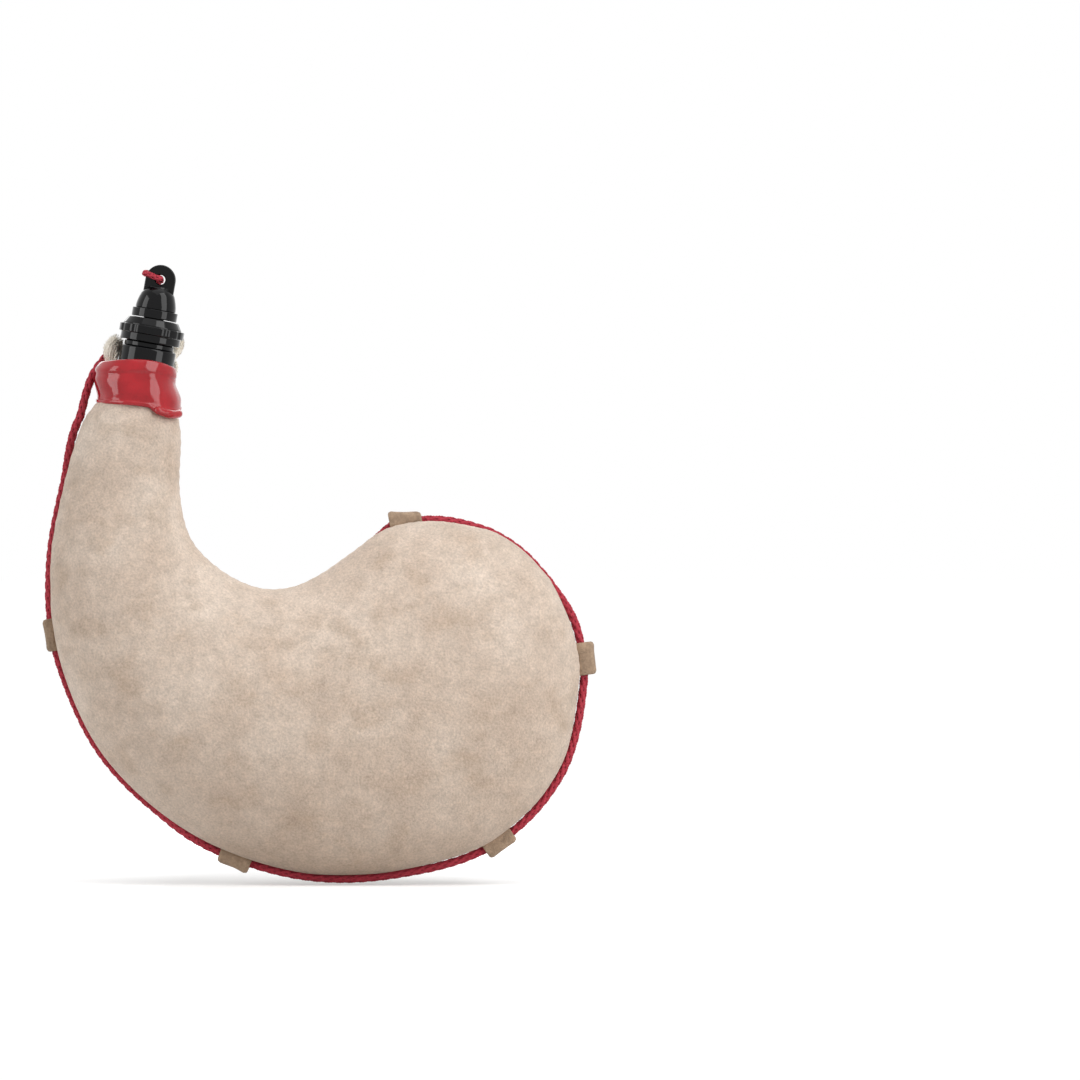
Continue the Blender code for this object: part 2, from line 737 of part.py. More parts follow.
def mouthpiece_gasket(parent):
    top = gasket_top()
    bottom = SPIGOT_TOP + SEAL_GAP
    profile = [
        (SPIGOT_RADIUS, top),
        (SPIGOT_RADIUS, bottom),
        (GASKET_INNER_RADIUS, bottom),
        (GASKET_INNER_RADIUS, top),
    ]
    return turned("mouthpiece_gasket", profile, ROUND_STEPS, grey_rubber("mouthpiece_gasket"), parent)


def mouthpiece(parent):
    """The screw-on mouthpiece: a ridged nut with a short spout and a fine jet."""
    ceiling = gasket_top() + SEAL_GAP
    bore = SPIGOT_RADIUS + THREAD_CLEARANCE
    profile = [
        (SPOUT_RADIUS - NUT_EDGE, SPOUT_TOP),
        (SPOUT_RADIUS, SPOUT_TOP - NUT_EDGE),
        (SPOUT_RADIUS, NUT_TOP),
        (NUT_TOP_RADIUS, NUT_TOP),
        (NUT_SHOULDER_RADIUS, NUT_RIDGE_TOP + NUT_EDGE),
        (NUT_SHOULDER_RADIUS, NUT_RIDGE_TOP),
        (NUT_RIDGE_RADIUS - NUT_EDGE, NUT_RIDGE_TOP),
        (NUT_RIDGE_RADIUS, NUT_RIDGE_TOP - NUT_EDGE),
        (NUT_RIDGE_RADIUS, NUT_RIDGE_BOTTOM + NUT_EDGE),
        (NUT_RIDGE_RADIUS - NUT_EDGE, NUT_RIDGE_BOTTOM),
        (NUT_RADIUS, NUT_RIDGE_BOTTOM),
        (NUT_RADIUS, NUT_BOTTOM + NUT_EDGE),
        (NUT_RADIUS - NUT_EDGE, NUT_BOTTOM),
        (bore, NUT_BOTTOM),
        (bore, ceiling),
        (SPOUT_JET_RADIUS, ceiling),
        (SPOUT_JET_RADIUS, SPOUT_TOP),
    ]
    plain = turned("mouthpiece_plain", profile, FINE_STEPS, black_gloss("mouthpiece"), parent)
    made = evaluated_copy(plain, "mouthpiece")
    step = 2 * math.pi / FINE_STEPS
    for vertex in made.data.vertices:
        radius = math.hypot(vertex.co.x, vertex.co.y)
        index = round(math.atan2(vertex.co.y, vertex.co.x) / step)
        if radius > NUT_RADIUS + NUT_EDGE and index % NUT_NOTCH_EVERY == 0:
            shrink = (radius - NUT_NOTCH_DEPTH) / radius
            vertex.co.x *= shrink
            vertex.co.y *= shrink
    return made


def cap_washer(parent):
    top = SPOUT_TOP + SEAL_GAP + CAP_WASHER_THICKNESS
    bottom = SPOUT_TOP + SEAL_GAP
    profile = [
        (SPOUT_RADIUS, top),
        (SPOUT_RADIUS, bottom),
        (SPOUT_JET_RADIUS, bottom),
        (SPOUT_JET_RADIUS, top),
    ]
    return turned("cap_washer", profile, ROUND_STEPS, grey_rubber("cap_washer"), parent)


def cap_tab(parent):
    """The flat tab on the cap, with a round top."""
    curve = bpy.data.curves.new("cap_tab", "CURVE")
    curve.dimensions = "2D"
    curve.fill_mode = "BOTH"
    curve.extrude = CAP_TAB_THICKNESS / 2
    half = CAP_TAB_WIDTH / 2
    round_steps = 14
    points = [(-half, CAP_TAB_BOTTOM), (half, CAP_TAB_BOTTOM)]
    for i in range(round_steps + 1):
        angle = math.pi * i / round_steps
        points.append((half * math.cos(angle), CAP_TOP - half + half * math.sin(angle)))
    spline = curve.splines.new("POLY")
    spline.points.add(len(points) - 1)
    for target, (x, y) in zip(spline.points, points):
        target.co = (x, y, 0.0, 1.0)
    spline.use_cyclic_u = True
    flat = link(bpy.data.objects.new("cap_tab_flat", curve), cutter_collection, parent)
    flat.rotation_euler = (math.pi / 2, 0.0, 0.0)
    made = evaluated_copy(flat, "cap_tab")
    bm = bmesh.new()
    bm.from_mesh(made.data)
    bmesh.ops.remove_doubles(bm, verts=bm.verts[:], dist=0.01 * MM)
    bmesh.ops.recalc_face_normals(bm, faces=bm.faces[:])
    bm.to_mesh(made.data)
    bm.free()
    bag_collection.objects.unlink(made)
    cutter_collection.objects.link(made)
    return made


def cap(parent):
    """The screw cap: a flange and a dome, with an eyelet tab that grows out of the dome."""
    dome_base = CAP_BOTTOM + CAP_FLANGE_HEIGHT
    ceiling = SPOUT_TOP + 2 * SEAL_GAP + CAP_WASHER_THICKNESS
    bore = SPOUT_RADIUS + THREAD_CLEARANCE
    profile = [(0.0, dome_base + CAP_DOME_HEIGHT)]
    for r_share, z_share in reversed(CAP_DOME_SHARES):
        profile.append((CAP_DOME_RADIUS * r_share, dome_base + CAP_DOME_HEIGHT * z_share))
    profile += [
        (CAP_DOME_RADIUS, dome_base),
        (CAP_FLANGE_RADIUS - CAP_EDGE, dome_base),
        (CAP_FLANGE_RADIUS, dome_base - CAP_EDGE),
        (CAP_FLANGE_RADIUS, CAP_BOTTOM + CAP_EDGE),
        (CAP_FLANGE_RADIUS - CAP_EDGE, CAP_BOTTOM),
        (bore, CAP_BOTTOM),
        (bore, ceiling),
        (0.0, ceiling),
    ]
    body = turned("cap", profile, FINE_STEPS, black_gloss("cap"), parent)
    cut(body, cap_tab(parent), "UNION")
    bm = bmesh.new()
    bmesh.ops.create_cone(
        bm, cap_ends=True, segments=20, radius1=EYELET_RADIUS, radius2=EYELET_RADIUS,
        depth=2 * CAP_TAB_THICKNESS,
    )
    hole = mesh_object(
        "eyelet_cutter", bm, grey_rubber("eyelet_cutter"), parent,
        Vector((0.0, 0.0, CAP_TOP - EYELET_BELOW_TOP)), cutter_collection,
    )
    hole.rotation_euler = (math.pi / 2, 0.0, 0.0)
    cut(body, hole)
    return body


def leash_eye():
    """The leash's end: out through the eyelet, round the tab's left edge and back to the knot."""
    reach = LEASH_RADIUS + CORD_GAP
    front = CAP_TAB_THICKNESS / 2
    side = CAP_TAB_WIDTH / 2
    corner_steps = 5
    turns = [
        (-EYELET_RADIUS, -front, 0.0, 0.0),
        (-side, -front, math.pi / 2, 0.6),
        (-side, front, math.pi, 1.0),
    ]
    hole = reach - EYELET_RADIUS
    flat = [(hole, LEASH_EYE_END, -0.3), (hole, front + reach, -0.1), (hole, front, 0.0)]
    for corner_x, corner_y, first, rise in turns:
        for i in range(corner_steps + 1):
            angle = first + math.pi / 2 * i / corner_steps
            flat.append((
                corner_x + reach * math.cos(angle),
                corner_y - reach * math.sin(angle),
                rise,
            ))
    flat += [(-side * 0.62, front + 1.6 * reach, 0.4), (-side * 0.5, LEASH_EYE_END, 0.1)]
    height = CAP_TOP - EYELET_BELOW_TOP
    route = [neck_point(x, y, height + LEASH_RADIUS * rise) for x, y, rise in flat]
    points = evenly_spaced(smooth_curve(route, 2), LEASH_RADIUS * 0.8)
    return tube("leash_eye", points, LEASH_RADIUS, red_braid("leash_eye"))


def cap_leash():
    route = smooth_curve([neck_point(*point) for point in LEASH_ROUTE], 4)
    points = evenly_spaced(route, POINT_SPACING * 2 * LEASH_RADIUS)
    return tube("cap_leash", points, LEASH_RADIUS, red_braid("cap_leash"))


def build():
    sections = bag_sections()
    leather_panel("leather_front_panel", -1.0, sections)
    leather_panel("leather_back_panel", 1.0, sections)
    inner_liner(sections)
    seam_braid(sections)
    strap_cord(sections)
    for name in LOOP_SHARES:
        strap_loop(name, sections)

    neck_frame = empty("neck_frame", None, NECK_ORIGIN, NECK_LEAN)
    mouthpiece_joint = empty("mouthpiece_joint", neck_frame, Vector())
    cap_joint = empty("cap_joint", neck_frame, Vector())
    neck_binding(neck_frame)
    red_collar(neck_frame)
    collar_tail()
    neck_insert(neck_frame)
    mouthpiece_gasket(mouthpiece_joint)
    mouthpiece(mouthpiece_joint)
    cap_washer(cap_joint)
    cap(cap_joint)
    leash_eye()
    cap_leash()

    neck_knot = neck_point(
        NECK_KNOT_RADIUS * math.sin(NECK_KNOT_ANGLE),
        -NECK_KNOT_RADIUS * math.cos(NECK_KNOT_ANGLE),
        NECK_KNOT_Z,
    )
    outwards = (neck_knot - neck_point(0.0, 0.0, NECK_KNOT_Z)).normalized()
    knot("strap_neck_knot", neck_knot, outwards, STRAP_KNOT_SIZE, red_braid("strap_neck_knot"))
    end_knot = outline_point(*STRAP_END_KNOT_SHARES) + Vector((0.0, STRAP_END_KNOT_STAND_OFF, 0.0))
    knot("strap_end_knot", end_knot, Vector((0.0, 1.0, 0.45)).normalized(), END_KNOT_SIZE,
         red_braid("strap_end_knot"))
    backwards = Vector((0.0, 1.0, 0.0))
    knot("leash_knot", neck_point(*LEASH_KNOT), backwards, LEASH_KNOT_SIZE, red_braid("leash_knot"))
    for name, place in (("braid_knot_left", BRAID_KNOT_LEFT), ("braid_knot_right", BRAID_KNOT_RIGHT)):
        knot(name, neck_point(*place), backwards, BRAID_KNOT_SIZE, natural_cord(name))


build()
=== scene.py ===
"""Leather bota bag, dressed: suede, braided cords, a glossy collar and a gloss black nozzle.

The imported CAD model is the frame. Every piece here is in metres in that frame, +Z is up and the
front panel faces -Y. Pieces of the nozzle stand on the neck's axis, which leans to the right.
"""

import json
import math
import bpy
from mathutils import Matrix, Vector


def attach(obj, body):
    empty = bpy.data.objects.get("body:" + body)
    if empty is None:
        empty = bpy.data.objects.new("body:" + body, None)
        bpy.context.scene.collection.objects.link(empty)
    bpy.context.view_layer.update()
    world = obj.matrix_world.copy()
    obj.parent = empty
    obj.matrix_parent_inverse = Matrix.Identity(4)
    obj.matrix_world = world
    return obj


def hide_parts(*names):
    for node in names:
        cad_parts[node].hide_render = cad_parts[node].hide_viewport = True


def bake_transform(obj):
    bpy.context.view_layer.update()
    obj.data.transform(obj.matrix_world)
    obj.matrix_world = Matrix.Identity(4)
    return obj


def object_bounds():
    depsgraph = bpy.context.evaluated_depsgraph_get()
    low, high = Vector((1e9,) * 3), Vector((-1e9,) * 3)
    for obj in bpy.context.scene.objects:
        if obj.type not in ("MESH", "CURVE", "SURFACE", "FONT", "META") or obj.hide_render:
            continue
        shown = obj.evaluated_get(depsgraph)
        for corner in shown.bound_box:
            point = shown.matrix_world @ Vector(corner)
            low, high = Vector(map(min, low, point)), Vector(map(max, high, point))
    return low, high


bl_info = {
    "name": "Leather bota bag",
    "version": (1, 0, 0),
    "blender": (4, 5, 0),
    "location": "3D View > Sidebar > Bota bag",
    "description": "Dresses the bota bag's CAD frame with leather, cord and moulded pieces",
    "category": "Object",
}

import bmesh
import bpy
from bpy.props import FloatProperty, FloatVectorProperty, IntProperty, PointerProperty
from mathutils import Matrix, Vector, noise

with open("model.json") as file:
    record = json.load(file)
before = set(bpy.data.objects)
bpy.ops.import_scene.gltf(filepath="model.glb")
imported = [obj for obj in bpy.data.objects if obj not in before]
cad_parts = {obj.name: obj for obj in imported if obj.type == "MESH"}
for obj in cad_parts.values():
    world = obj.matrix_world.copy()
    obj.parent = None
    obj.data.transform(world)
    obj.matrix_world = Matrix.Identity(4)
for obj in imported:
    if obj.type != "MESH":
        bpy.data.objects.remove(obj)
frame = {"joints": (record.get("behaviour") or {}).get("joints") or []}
CAD_LOW, CAD_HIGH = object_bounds()
JOINTS = {joint["name"]: joint for joint in frame["joints"]}

MM = 0.001

# Neck frame, from the screw joints of the CAD model
NOZZLE_AXIS = Vector(JOINTS["mouthpiece_turn"]["axis"]).normalized()
NOZZLE_ACROSS = Vector((NOZZLE_AXIS.z, 0.0, -NOZZLE_AXIS.x))
NECK_ORIGIN = Vector(JOINTS["mouthpiece_turn"]["pos_m"])
BACKWARDS = Vector((0.0, 1.0, 0.0))

# Leather bag
BAG_X = 0.95 * MM
BAG_BASE = 4.32 * MM
SEAM_HALF_GAP = 1.3 * MM
SEAM_MARGIN = 5.0 * MM
EDGE_FULLNESS = 0.62
NECK_LEATHER = 1.8 * MM
NECK_RIM = 0.8 * MM
NECK_TOP = 17.5 * MM
NECK_RADIUS = 13.75 * MM
NECK_FLARE_START = 5.0 * MM
NECK_MOUTH_RADIUS = 17.9 * MM
ROLL_INSET = 3.0 * MM
ROLL_END = 0.35 * MM
STITCH_PITCH = 5.2 * MM
PUCKER_DEPTH = 0.42 * MM
PUCKER_REACH = 5.0 * MM
DENT_DEPTH = 0.55 * MM
DENT_SLOW = 26.0
DENT_QUICK = 75.0
DENT_QUICK_SHARE = 0.3
DENT_FREE_FROM = 2.0 * MM
DENT_FREE_OVER = 14.0 * MM
# Painted rim light: how far from the seam the suede is painted paler, as if the rounded edge caught
# more light
PAINTED_RIM_LIGHT_REACH = 9.0 * MM
PANEL_STEPS = 44
ROLL_STEPS = 4

# Bladder
LINER_WALL = 0.8 * MM
LINER_CLEARANCE = 0.35 * MM
LINER_TOP = 16.8 * MM
LINER_STEPS = 48
LINER_CRUMPLE = 90.0
LINER_WRINKLE = 0.03

# Collar and its tail
COLLAR_HEIGHT = 21.4 * MM
COLLAR_RADIUS = 19.9 * MM
COLLAR_PUSH = 2.9 * MM
COLLAR_ARCH = 1.0 * MM
COLLAR_LOBE = 1.9 * MM
COLLAR_LEVEL = 0.085
COLLAR_DROP = 1.1 * MM
COLLAR_SHRINK = 0.035
COLLAR_LUMPS = 1.3
COLLAR_DENTS = 0.7
COLLAR_CREASE = 0.7
COLLAR_CREASE_SHARE = 0.69
COLLAR_CREASE_WIDTH = 0.05
COLLAR_WANDER = 0.6 * MM
COLLAR_BULGE_SHARE = 0.75
COLLAR_BULGE_WIDTH = 0.29
# Lobe of the lower edge, in degrees round the neck: where it starts, how far it takes to grow, where
# it starts to end, and how far that takes.
COLLAR_LOBE_ARC = (16, 12, 72, 22)
COLLAR_STEPS = 128
COLLAR_OUTER_SHARES = [
    (0.80, 1.0), (0.845, 0.98), (0.875, 0.89), (0.905, 0.75), (0.905, 0.63),
    (0.95, 0.47), (0.985, 0.28), (0.98, 0.12), (1.0, 0.075), (1.0, 0.03), (0.975, 0.0),
]
COLLAR_INNER_SHARES = [
    (0.94, 0.0), (0.92, 0.14), (0.855, 0.45), (0.84, 0.7), (0.79, 0.87), (0.775, 1.0),
]
TAIL_RADIUS = 2.0 * MM
TAIL_DROP = 0.9 * MM
TAIL_STAND_OFF = 20.3 * MM
TAIL_START = math.radians(24.0)
TAIL_END = math.radians(71.0)
TAIL_SWAY = 0.7 * MM
TAIL_SAG = 1.2 * MM
TAIL_LIFT = 0.1 * MM
TAIL_LEAST_RADIUS = 0.25 * MM
TAIL_LUMPS = 0.12
TAIL_ROUND_STEPS = 2.2
TAIL_STEPS = 18
TAIL_SIDES = 20

# Neck insert
INSERT_BORE = 8.0 * MM
INSERT_STEM_RADIUS = 9.8 * MM
INSERT_BOTTOM = -8.0 * MM
INSERT_SHOULDER_Z = 17.9 * MM
INSERT_BODY_RADIUS = 12.9 * MM
INSERT_BODY_TOP = 26.4 * MM
INSERT_CHAMFER = 0.8 * MM
INSERT_GROOVE_RADIUS = 11.5 * MM
INSERT_GROOVE_TOP = 28.4 * MM
SPIGOT_RADIUS = 10.6 * MM
SPIGOT_TOP = 36.0 * MM

# Mouthpiece and its gasket
NUT_BOTTOM = 28.7 * MM
NUT_RADIUS = 13.8 * MM
NUT_RIDGE_BOTTOM = 32.2 * MM
NUT_RIDGE_RADIUS = 14.95 * MM
NUT_RIDGE_TOP = 35.9 * MM
NUT_SHOULDER_RADIUS = 13.5 * MM
NUT_TOP = 39.6 * MM
NUT_TOP_RADIUS = 11.5 * MM
NUT_BORE = 10.95 * MM
NUT_CEILING = 37.6 * MM
NOTCH_COUNT = 12
NOTCH_DEPTH = 0.35 * MM
NOTCH_FLAT = 0.5 * MM
NOTCH_SLOPE = 0.7 * MM
SPOUT_RADIUS = 4.5 * MM
SPOUT_TOP = 47.3 * MM
SPOUT_JET_RADIUS = 1.3 * MM
GASKET_BOTTOM = 36.3 * MM
GASKET_TOP = 37.3 * MM
GASKET_INNER_RADIUS = 7.0 * MM
MOULD_EDGE = 0.45 * MM
SEAL_EDGE = 0.3 * MM

# Cap and its washer
CAP_BOTTOM = 39.9 * MM
CAP_FLANGE_RADIUS = 10.5 * MM
CAP_FLANGE_HEIGHT = 4.1 * MM
CAP_DOME_RADIUS = 9.4 * MM
CAP_DOME_HEIGHT = 11.4 * MM
CAP_DOME_SHARES = [(0.97, 0.22), (0.9, 0.45), (0.79, 0.68), (0.62, 0.84), (0.38, 0.95)]
CAP_BEAD = 0.45 * MM
CAP_BEAD_SHARE = 0.5
CAP_BORE = 4.85 * MM
CAP_CEILING = 48.9 * MM
CAP_TAB_WIDTH = 14.0 * MM
CAP_TAB_THICKNESS = 5.0 * MM
CAP_TAB_BOTTOM = 49.8 * MM
CAP_TAB_EDGE = 0.7 * MM
CAP_TAB_STEPS = 24
EYELET_STEPS = 32
CAP_TOP = 65.0 * MM
EYELET_RADIUS = 2.2 * MM
EYELET_BELOW_TOP = 6.9 * MM
WASHER_BOTTOM = 47.6 * MM
WASHER_TOP = 48.6 * MM

# Binding under the collar
BINDING_CORD = 1.2 * MM
BINDING_TURNS = 8
BINDING_BOTTOM = 5.2 * MM
BINDING_RADIUS = 14.1 * MM
BINDING_STEPS = 40
BINDING_STEP = 0.8
BINDING_SQUEEZE = 0.46

# Cords and the loops that hold the strap
SEAM_CORD_RADIUS = 1.0 * MM
SEAM_CORD_INSET = 2.4 * MM
CORD_GAP = 0.3 * MM
STRAP_STEP = 3.0 * MM
STRAP_RAMP = 32.0 * MM
STRAP_START = 12.0 * MM
LOOP_LENGTH = 15.0 * MM
LOOP_LEATHER = 1.2 * MM
LOOP_SLACK = 0.3 * MM
LOOP_CORNER = 1.9 * MM
LOOP_ROUND = 2.2 * MM
LOOP_FOOT = -1.6 * MM
LOOP_STEPS = 20
LOOP_END_INSETS = (0.28 * MM, 0.06 * MM, 0.0)
LOOP_END_SHARE = 0.02
LOOP_SAG = 0.45 * MM
LOOP_WAVE = 0.26 * MM
LOOP_LIP = 1.2 * MM
LOOP_FREE_FROM = 4.0 * MM
CORNER_STEPS = 6

# Braid, knots and twine: counts, and lengths as shares of the cord's radius
BRAID_MIDDLE = 0.68
BRAID_SWING = 0.11
BRAID_TURN = 10.0
BRAID_GIRTH = 2.35
BRAID_OVERLAP = 1.3
BRAID_HEIGHT = 0.2
BRAID_CORE = 0.56
BRAID_STEP = 0.26
KNOT_STEP = 0.3
KNOT_STEPS = 30
KNOT_OPENING = 0.5
TWIST_PLIES = 3
TWIST_TURN = 7.0
TWIST_PLY = 0.54
TWIST_STEP = 0.45
# Distance at which points of a mesh become one
WELD = 0.002 * MM

# Outline rows from the neck to the tip: outer edge x and z, inner edge x and z, depth, as shares
# of the bag's width, height and half depth.
ROW_SHARES = [
    (-0.452, 0.953, -0.263, 0.928, 0.56),
    (-0.488, 0.811, -0.265, 0.811, 0.64),
    (-0.510, 0.652, -0.244, 0.715, 0.75),
    (-0.493, 0.461, -0.189, 0.650, 0.86),
    (-0.407, 0.251, -0.121, 0.6125, 0.95),
    (-0.244, 0.090, -0.059, 0.6115, 1.0),
    (-0.045, 0.0085, -0.002, 0.638, 1.0),
    (0.144, 0.0096, 0.059, 0.685, 0.98),
    (0.327, 0.074, 0.127, 0.737, 0.91),
    (0.452, 0.221, 0.214, 0.753, 0.77),
    (0.491, 0.408, 0.308, 0.737, 0.54),
    (0.482, 0.507, 0.346, 0.720, 0.43),
    (0.458, 0.580, 0.378, 0.696, 0.28),
    (0.436, 0.6285, 0.401, 0.673, 0.0),
]
# Loops: place on the edge as shares of the bag's size, then in millimetres how far the strap's
# middle lies out from the edge there, and how far the strip's two ends reach out from it.
LOOPS = {
    "loop_left": (-0.509, 0.51, 0.7, 4.6, 4.6),
    "loop_bottom_left": (-0.161, 0.034, 1.7, 6.2, 6.9),
    "loop_bottom_right": (0.335, 0.078, 1.9, 6.9, 6.4),
    "loop_right": (0.492, 0.459, 2.0, 7.5, 7.7),
    "loop_top": (0.163, 0.749, 0.5, 4.2, 7.0),
}
# Strap in the middle of each span between the loops, in millimetres: out from the edge, and behind
# the seam.
STRAP_SPANS = [(0.8, 11.4), (0.9, 10.4), (1.6, 0.0), (1.6, 0.0), (-1.0, 12.8)]
# Strap from the top loop over the inner edge, as shares of the bag's width, height and half depth.
STRAP_END_ROUTE = [(0.104, 0.712, 0.17), (0.088, 0.698, 0.34), (0.077, 0.680, 0.47)]
STRAP_END_KNOT_SHARES = (0.071, 0.652, 0.503)
STRAP_END_KNOT_STAND_OFF = 3.7 * MM
STRAP_END_KNOT_TILT = 0.45
NECK_KNOT_RADIUS = 19.6 * MM
NECK_KNOT_ANGLE = math.radians(213.0)
NECK_KNOT_Z = 22.6 * MM
# Knots, in millimetres: size of the turns, radius of the cord, then of the frayed end its spread,
# the hairs' length and thickness, their number and the seed, and two places that the tail passes.
KNOTS = {
    "strap_neck_knot": (1.6, 1.5, 1.05, 3.0, 0.08, 26, 11, [(3.4, 3.0, -5.0), (4.6, 4.4, -9.5)]),
    "strap_end_knot": (1.7, 1.6, 1.12, 3.0, 0.08, 26, 11, [(4.0, 1.2, -6.0), (6.0, 2.2, -11.0)]),
    "leash_knot": (0.92, 0.95, 0.8, 2.4, 0.07, 22, 5, [(2.6, 3.0, -2.5), (3.2, 4.4, -6.5)]),
}

# Places beside the nozzle: rows of across, back and along the neck's axis, in millimetres
STRAP_NECK_ROUTE = [
    (-16.4, 13.3, 21.8), (-18.6, 11.8, 20.2), (-20.1, 8.9, 17.2), (-21.9, 5.4, 13.6),
    (-23.7, 1.8, 8.0), (-24.8, 0.0, 0.0),
]
LEASH_ROUTE = [
    (-2.9, 13.4, 53.8), (-1.6, 15.0, 50.0), (0.2, 17.2, 46.0), (1.0, 18.3, 41.0),
    (2.4, 19.4, 33.0), (3.6, 20.8, 25.0), (5.0, 22.6, 16.0), (5.6, 23.8, 6.0),
    (4.2, 24.4, -2.0), (0.2, 24.8, -5.6), (-4.2, 24.6, -3.0), (-6.6, 23.8, 4.0),
    (-7.8, 22.6, 12.0), (-8.8, 20.6, 18.5),
]
# The leash is two pieces that meet at this point of its smoothed route.
LEASH_SPLIT = 33
LEASH_KNOT = (-3.3 * MM, 12.4 * MM, 57.2 * MM)
LEASH_EYE_END = 9.5 * MM
LEASH_EYE_BITE = 1.0 * MM
LEASH_EYE_SHIFT = -0.4 * MM
LEASH_EYE_SQUEEZE = 0.9
SEAM_CORD_LEFT_END = [(-14.9, 1.9, 23.4), (-14.2, 0.6, 21.6), (-14.2, 0.0, 18.0)]
SEAM_CORD_RIGHT_END = [
    (14.1, 0.2, 16.8), (14.0, 2.2, 19.6), (13.4, 5.2, 21.4), (12.2, 7.8, 22.4), (11.2, 9.4, 23.2),
]
# Soft ends of the seam cord: the middle of the tuft and then its radius, up the stub
STUB_LEFT = [
    (-15.8, 2.6, 16.6, 2.6), (-16.4, 2.9, 19.0, 3.3), (-16.7, 3.3, 21.4, 3.7),
    (-16.8, 3.8, 23.8, 3.7), (-16.0, 4.2, 26.2, 3.1), (-15.1, 4.4, 27.8, 2.1),
]
STUB_RIGHT = [
    (10.6, 9.2, 22.5, 1.5), (11.4, 10.8, 25.0, 1.8), (12.4, 12.2, 27.6, 2.1),
    (12.8, 13.0, 30.0, 2.0), (12.7, 13.4, 32.0, 1.3),
]
STUB_BUNDLES = 14
STUB_BUNDLE_TURN = 0.025
STUB_BUNDLE_PLACE = 0.68
STUB_BUNDLE_RADIUS = 0.30
STUB_FIBRES = 46
STUB_FIBRE_LENGTH = 2.6 * MM
STUB_FIBRE_RADIUS = 0.06 * MM

# Camera: the view's middle, its width at the seam plane and the distance
VIEW_X = 102.2 * MM
VIEW_Z = 158.6 * MM
VIEW_WIDTH = 496.8 * MM
VIEW_DISTANCE = 4.0
VIEW_CLIP = (0.05, 60.0)
SENSOR_WIDTH_MM = 36.0

# Light: lamps as azimuth, elevation, distance, size and radiance. Azimuth 0 is in front of the bag
# and 90 on its right.
LAMPS = {
    "softbox_left": (-68.0, 12.0, 1.05, (0.5, 1.25), 4.4),
    "softbox_right": (51.0, 26.0, 1.05, (0.6, 1.6), 4.45),
    "softbox_top": (40.0, 76.0, 1.3, (1.3, 1.0), 0.8),
    "softbox_back": (180.0, 36.0, 1.4, (1.5, 0.8), 1.7),
}
LAMPS_AIM = Vector((0.0, 0.0, 0.13))
STUDIO_FILL = 0.16
WHITE = (1.0, 1.0, 1.0, 1.0)
# Floor: scale of the distance from its middle. Then a near and a far distance with the glow at each,
# and the same for the paint.
FLOOR_HALF_SIZE = 30.0
FLOOR_SCALE = (1.5, 0.6, 1.0)
FLOOR_GLOW = (0.10, 0.34, 0.36, 1.0)
FLOOR_PAINT = (0.30, 0.60, 0.7, 0.12)


class BotaBagSizes(bpy.types.PropertyGroup):
    """Sizes that a user would change."""

    bag_width: FloatProperty(
        name="Bag width", description="Width of the leather between the loops",
        default=0.243, min=0.1, unit="LENGTH",
    )
    bag_height: FloatProperty(
        name="Bag height", description="Height of the leather, from its base to the neck",
        default=0.2167, min=0.1, unit="LENGTH",
    )
    half_depth: FloatProperty(
        name="Half depth", description="How far the belly swells to the front and to the back",
        default=0.035, min=0.01, unit="LENGTH",
    )
    leather: FloatProperty(
        name="Leather", description="Thickness of the leather panels",
        default=0.002, min=0.0005, unit="LENGTH",
    )
    strap_radius: FloatProperty(
        name="Strap radius", description="Radius of the braided carrying strap",
        default=0.0021, min=0.0005, unit="LENGTH",
    )
    leash_radius: FloatProperty(
        name="Leash radius", description="Radius of the braided cord that holds the cap",
        default=0.0016, min=0.0005, unit="LENGTH",
    )
    strap_strands: IntProperty(
        name="Strap strands", description="Strands in the strap's braid, an even number",
        default=8, min=4, max=16,
    )


class BotaBagColours(bpy.types.PropertyGroup):
    """Colours that a user would change."""

    suede: FloatVectorProperty(
        name="Suede", description="Main colour of the suede",
        default=(0.605, 0.483, 0.390), subtype="COLOR", size=3, min=0.0, max=1.0,
    )
    # The pale suede colour is used for the pale clouds and also for the painted rim light that makes
    # the edges paler
    pale_suede_and_rim_light: FloatVectorProperty(
        name="Pale suede", description="Colour of the pale clouds and of the edges",
        default=(0.725, 0.612, 0.516), subtype="COLOR", size=3, min=0.0, max=1.0,
    )
    # The brown suede colour is used for the brown blotches, for the loops and also for the painted
    # shade that darkens the base
    brown_suede_and_base_shade: FloatVectorProperty(
        name="Brown suede", description="Colour of the brown blotches",
        default=(0.42, 0.295, 0.200), subtype="COLOR", size=3, min=0.0, max=1.0,
    )
    strap: FloatVectorProperty(
        name="Strap", description="Colour of the braided strap and leash",
        default=(0.40, 0.030, 0.050), subtype="COLOR", size=3, min=0.0, max=1.0,
    )
    collar: FloatVectorProperty(
        name="Collar", description="Colour of the glossy collar",
        default=(0.44, 0.015, 0.022), subtype="COLOR", size=3, min=0.0, max=1.0,
    )
    nozzle: FloatVectorProperty(
        name="Nozzle", description="Colour of the moulded nozzle",
        default=(0.0025, 0.0025, 0.003), subtype="COLOR", size=3, min=0.0, max=1.0,
    )
    natural_cord: FloatVectorProperty(
        name="Natural cord", description="Colour of the undyed cotton cord",
        default=(0.82, 0.765, 0.67), subtype="COLOR", size=3, min=0.0, max=1.0,
    )


def sizes():
    return bpy.context.scene.bota_sizes


def colours():
    return bpy.context.scene.bota_colours


# Places and curves


def neck_point(across, back, along):
    return NECK_ORIGIN + NOZZLE_ACROSS * across + NOZZLE_AXIS * along + BACKWARDS * back


def neck_points(rows):
    """Places beside the nozzle, from rows in millimetres."""
    return [neck_point(*(value * MM for value in row[:3])) for row in rows]


def around_neck(radius, angle, height):
    """A place round the neck's axis. Angle 0 is in front and a quarter turn is on the right."""
    return neck_point(radius * math.sin(angle), -radius * math.cos(angle), height)


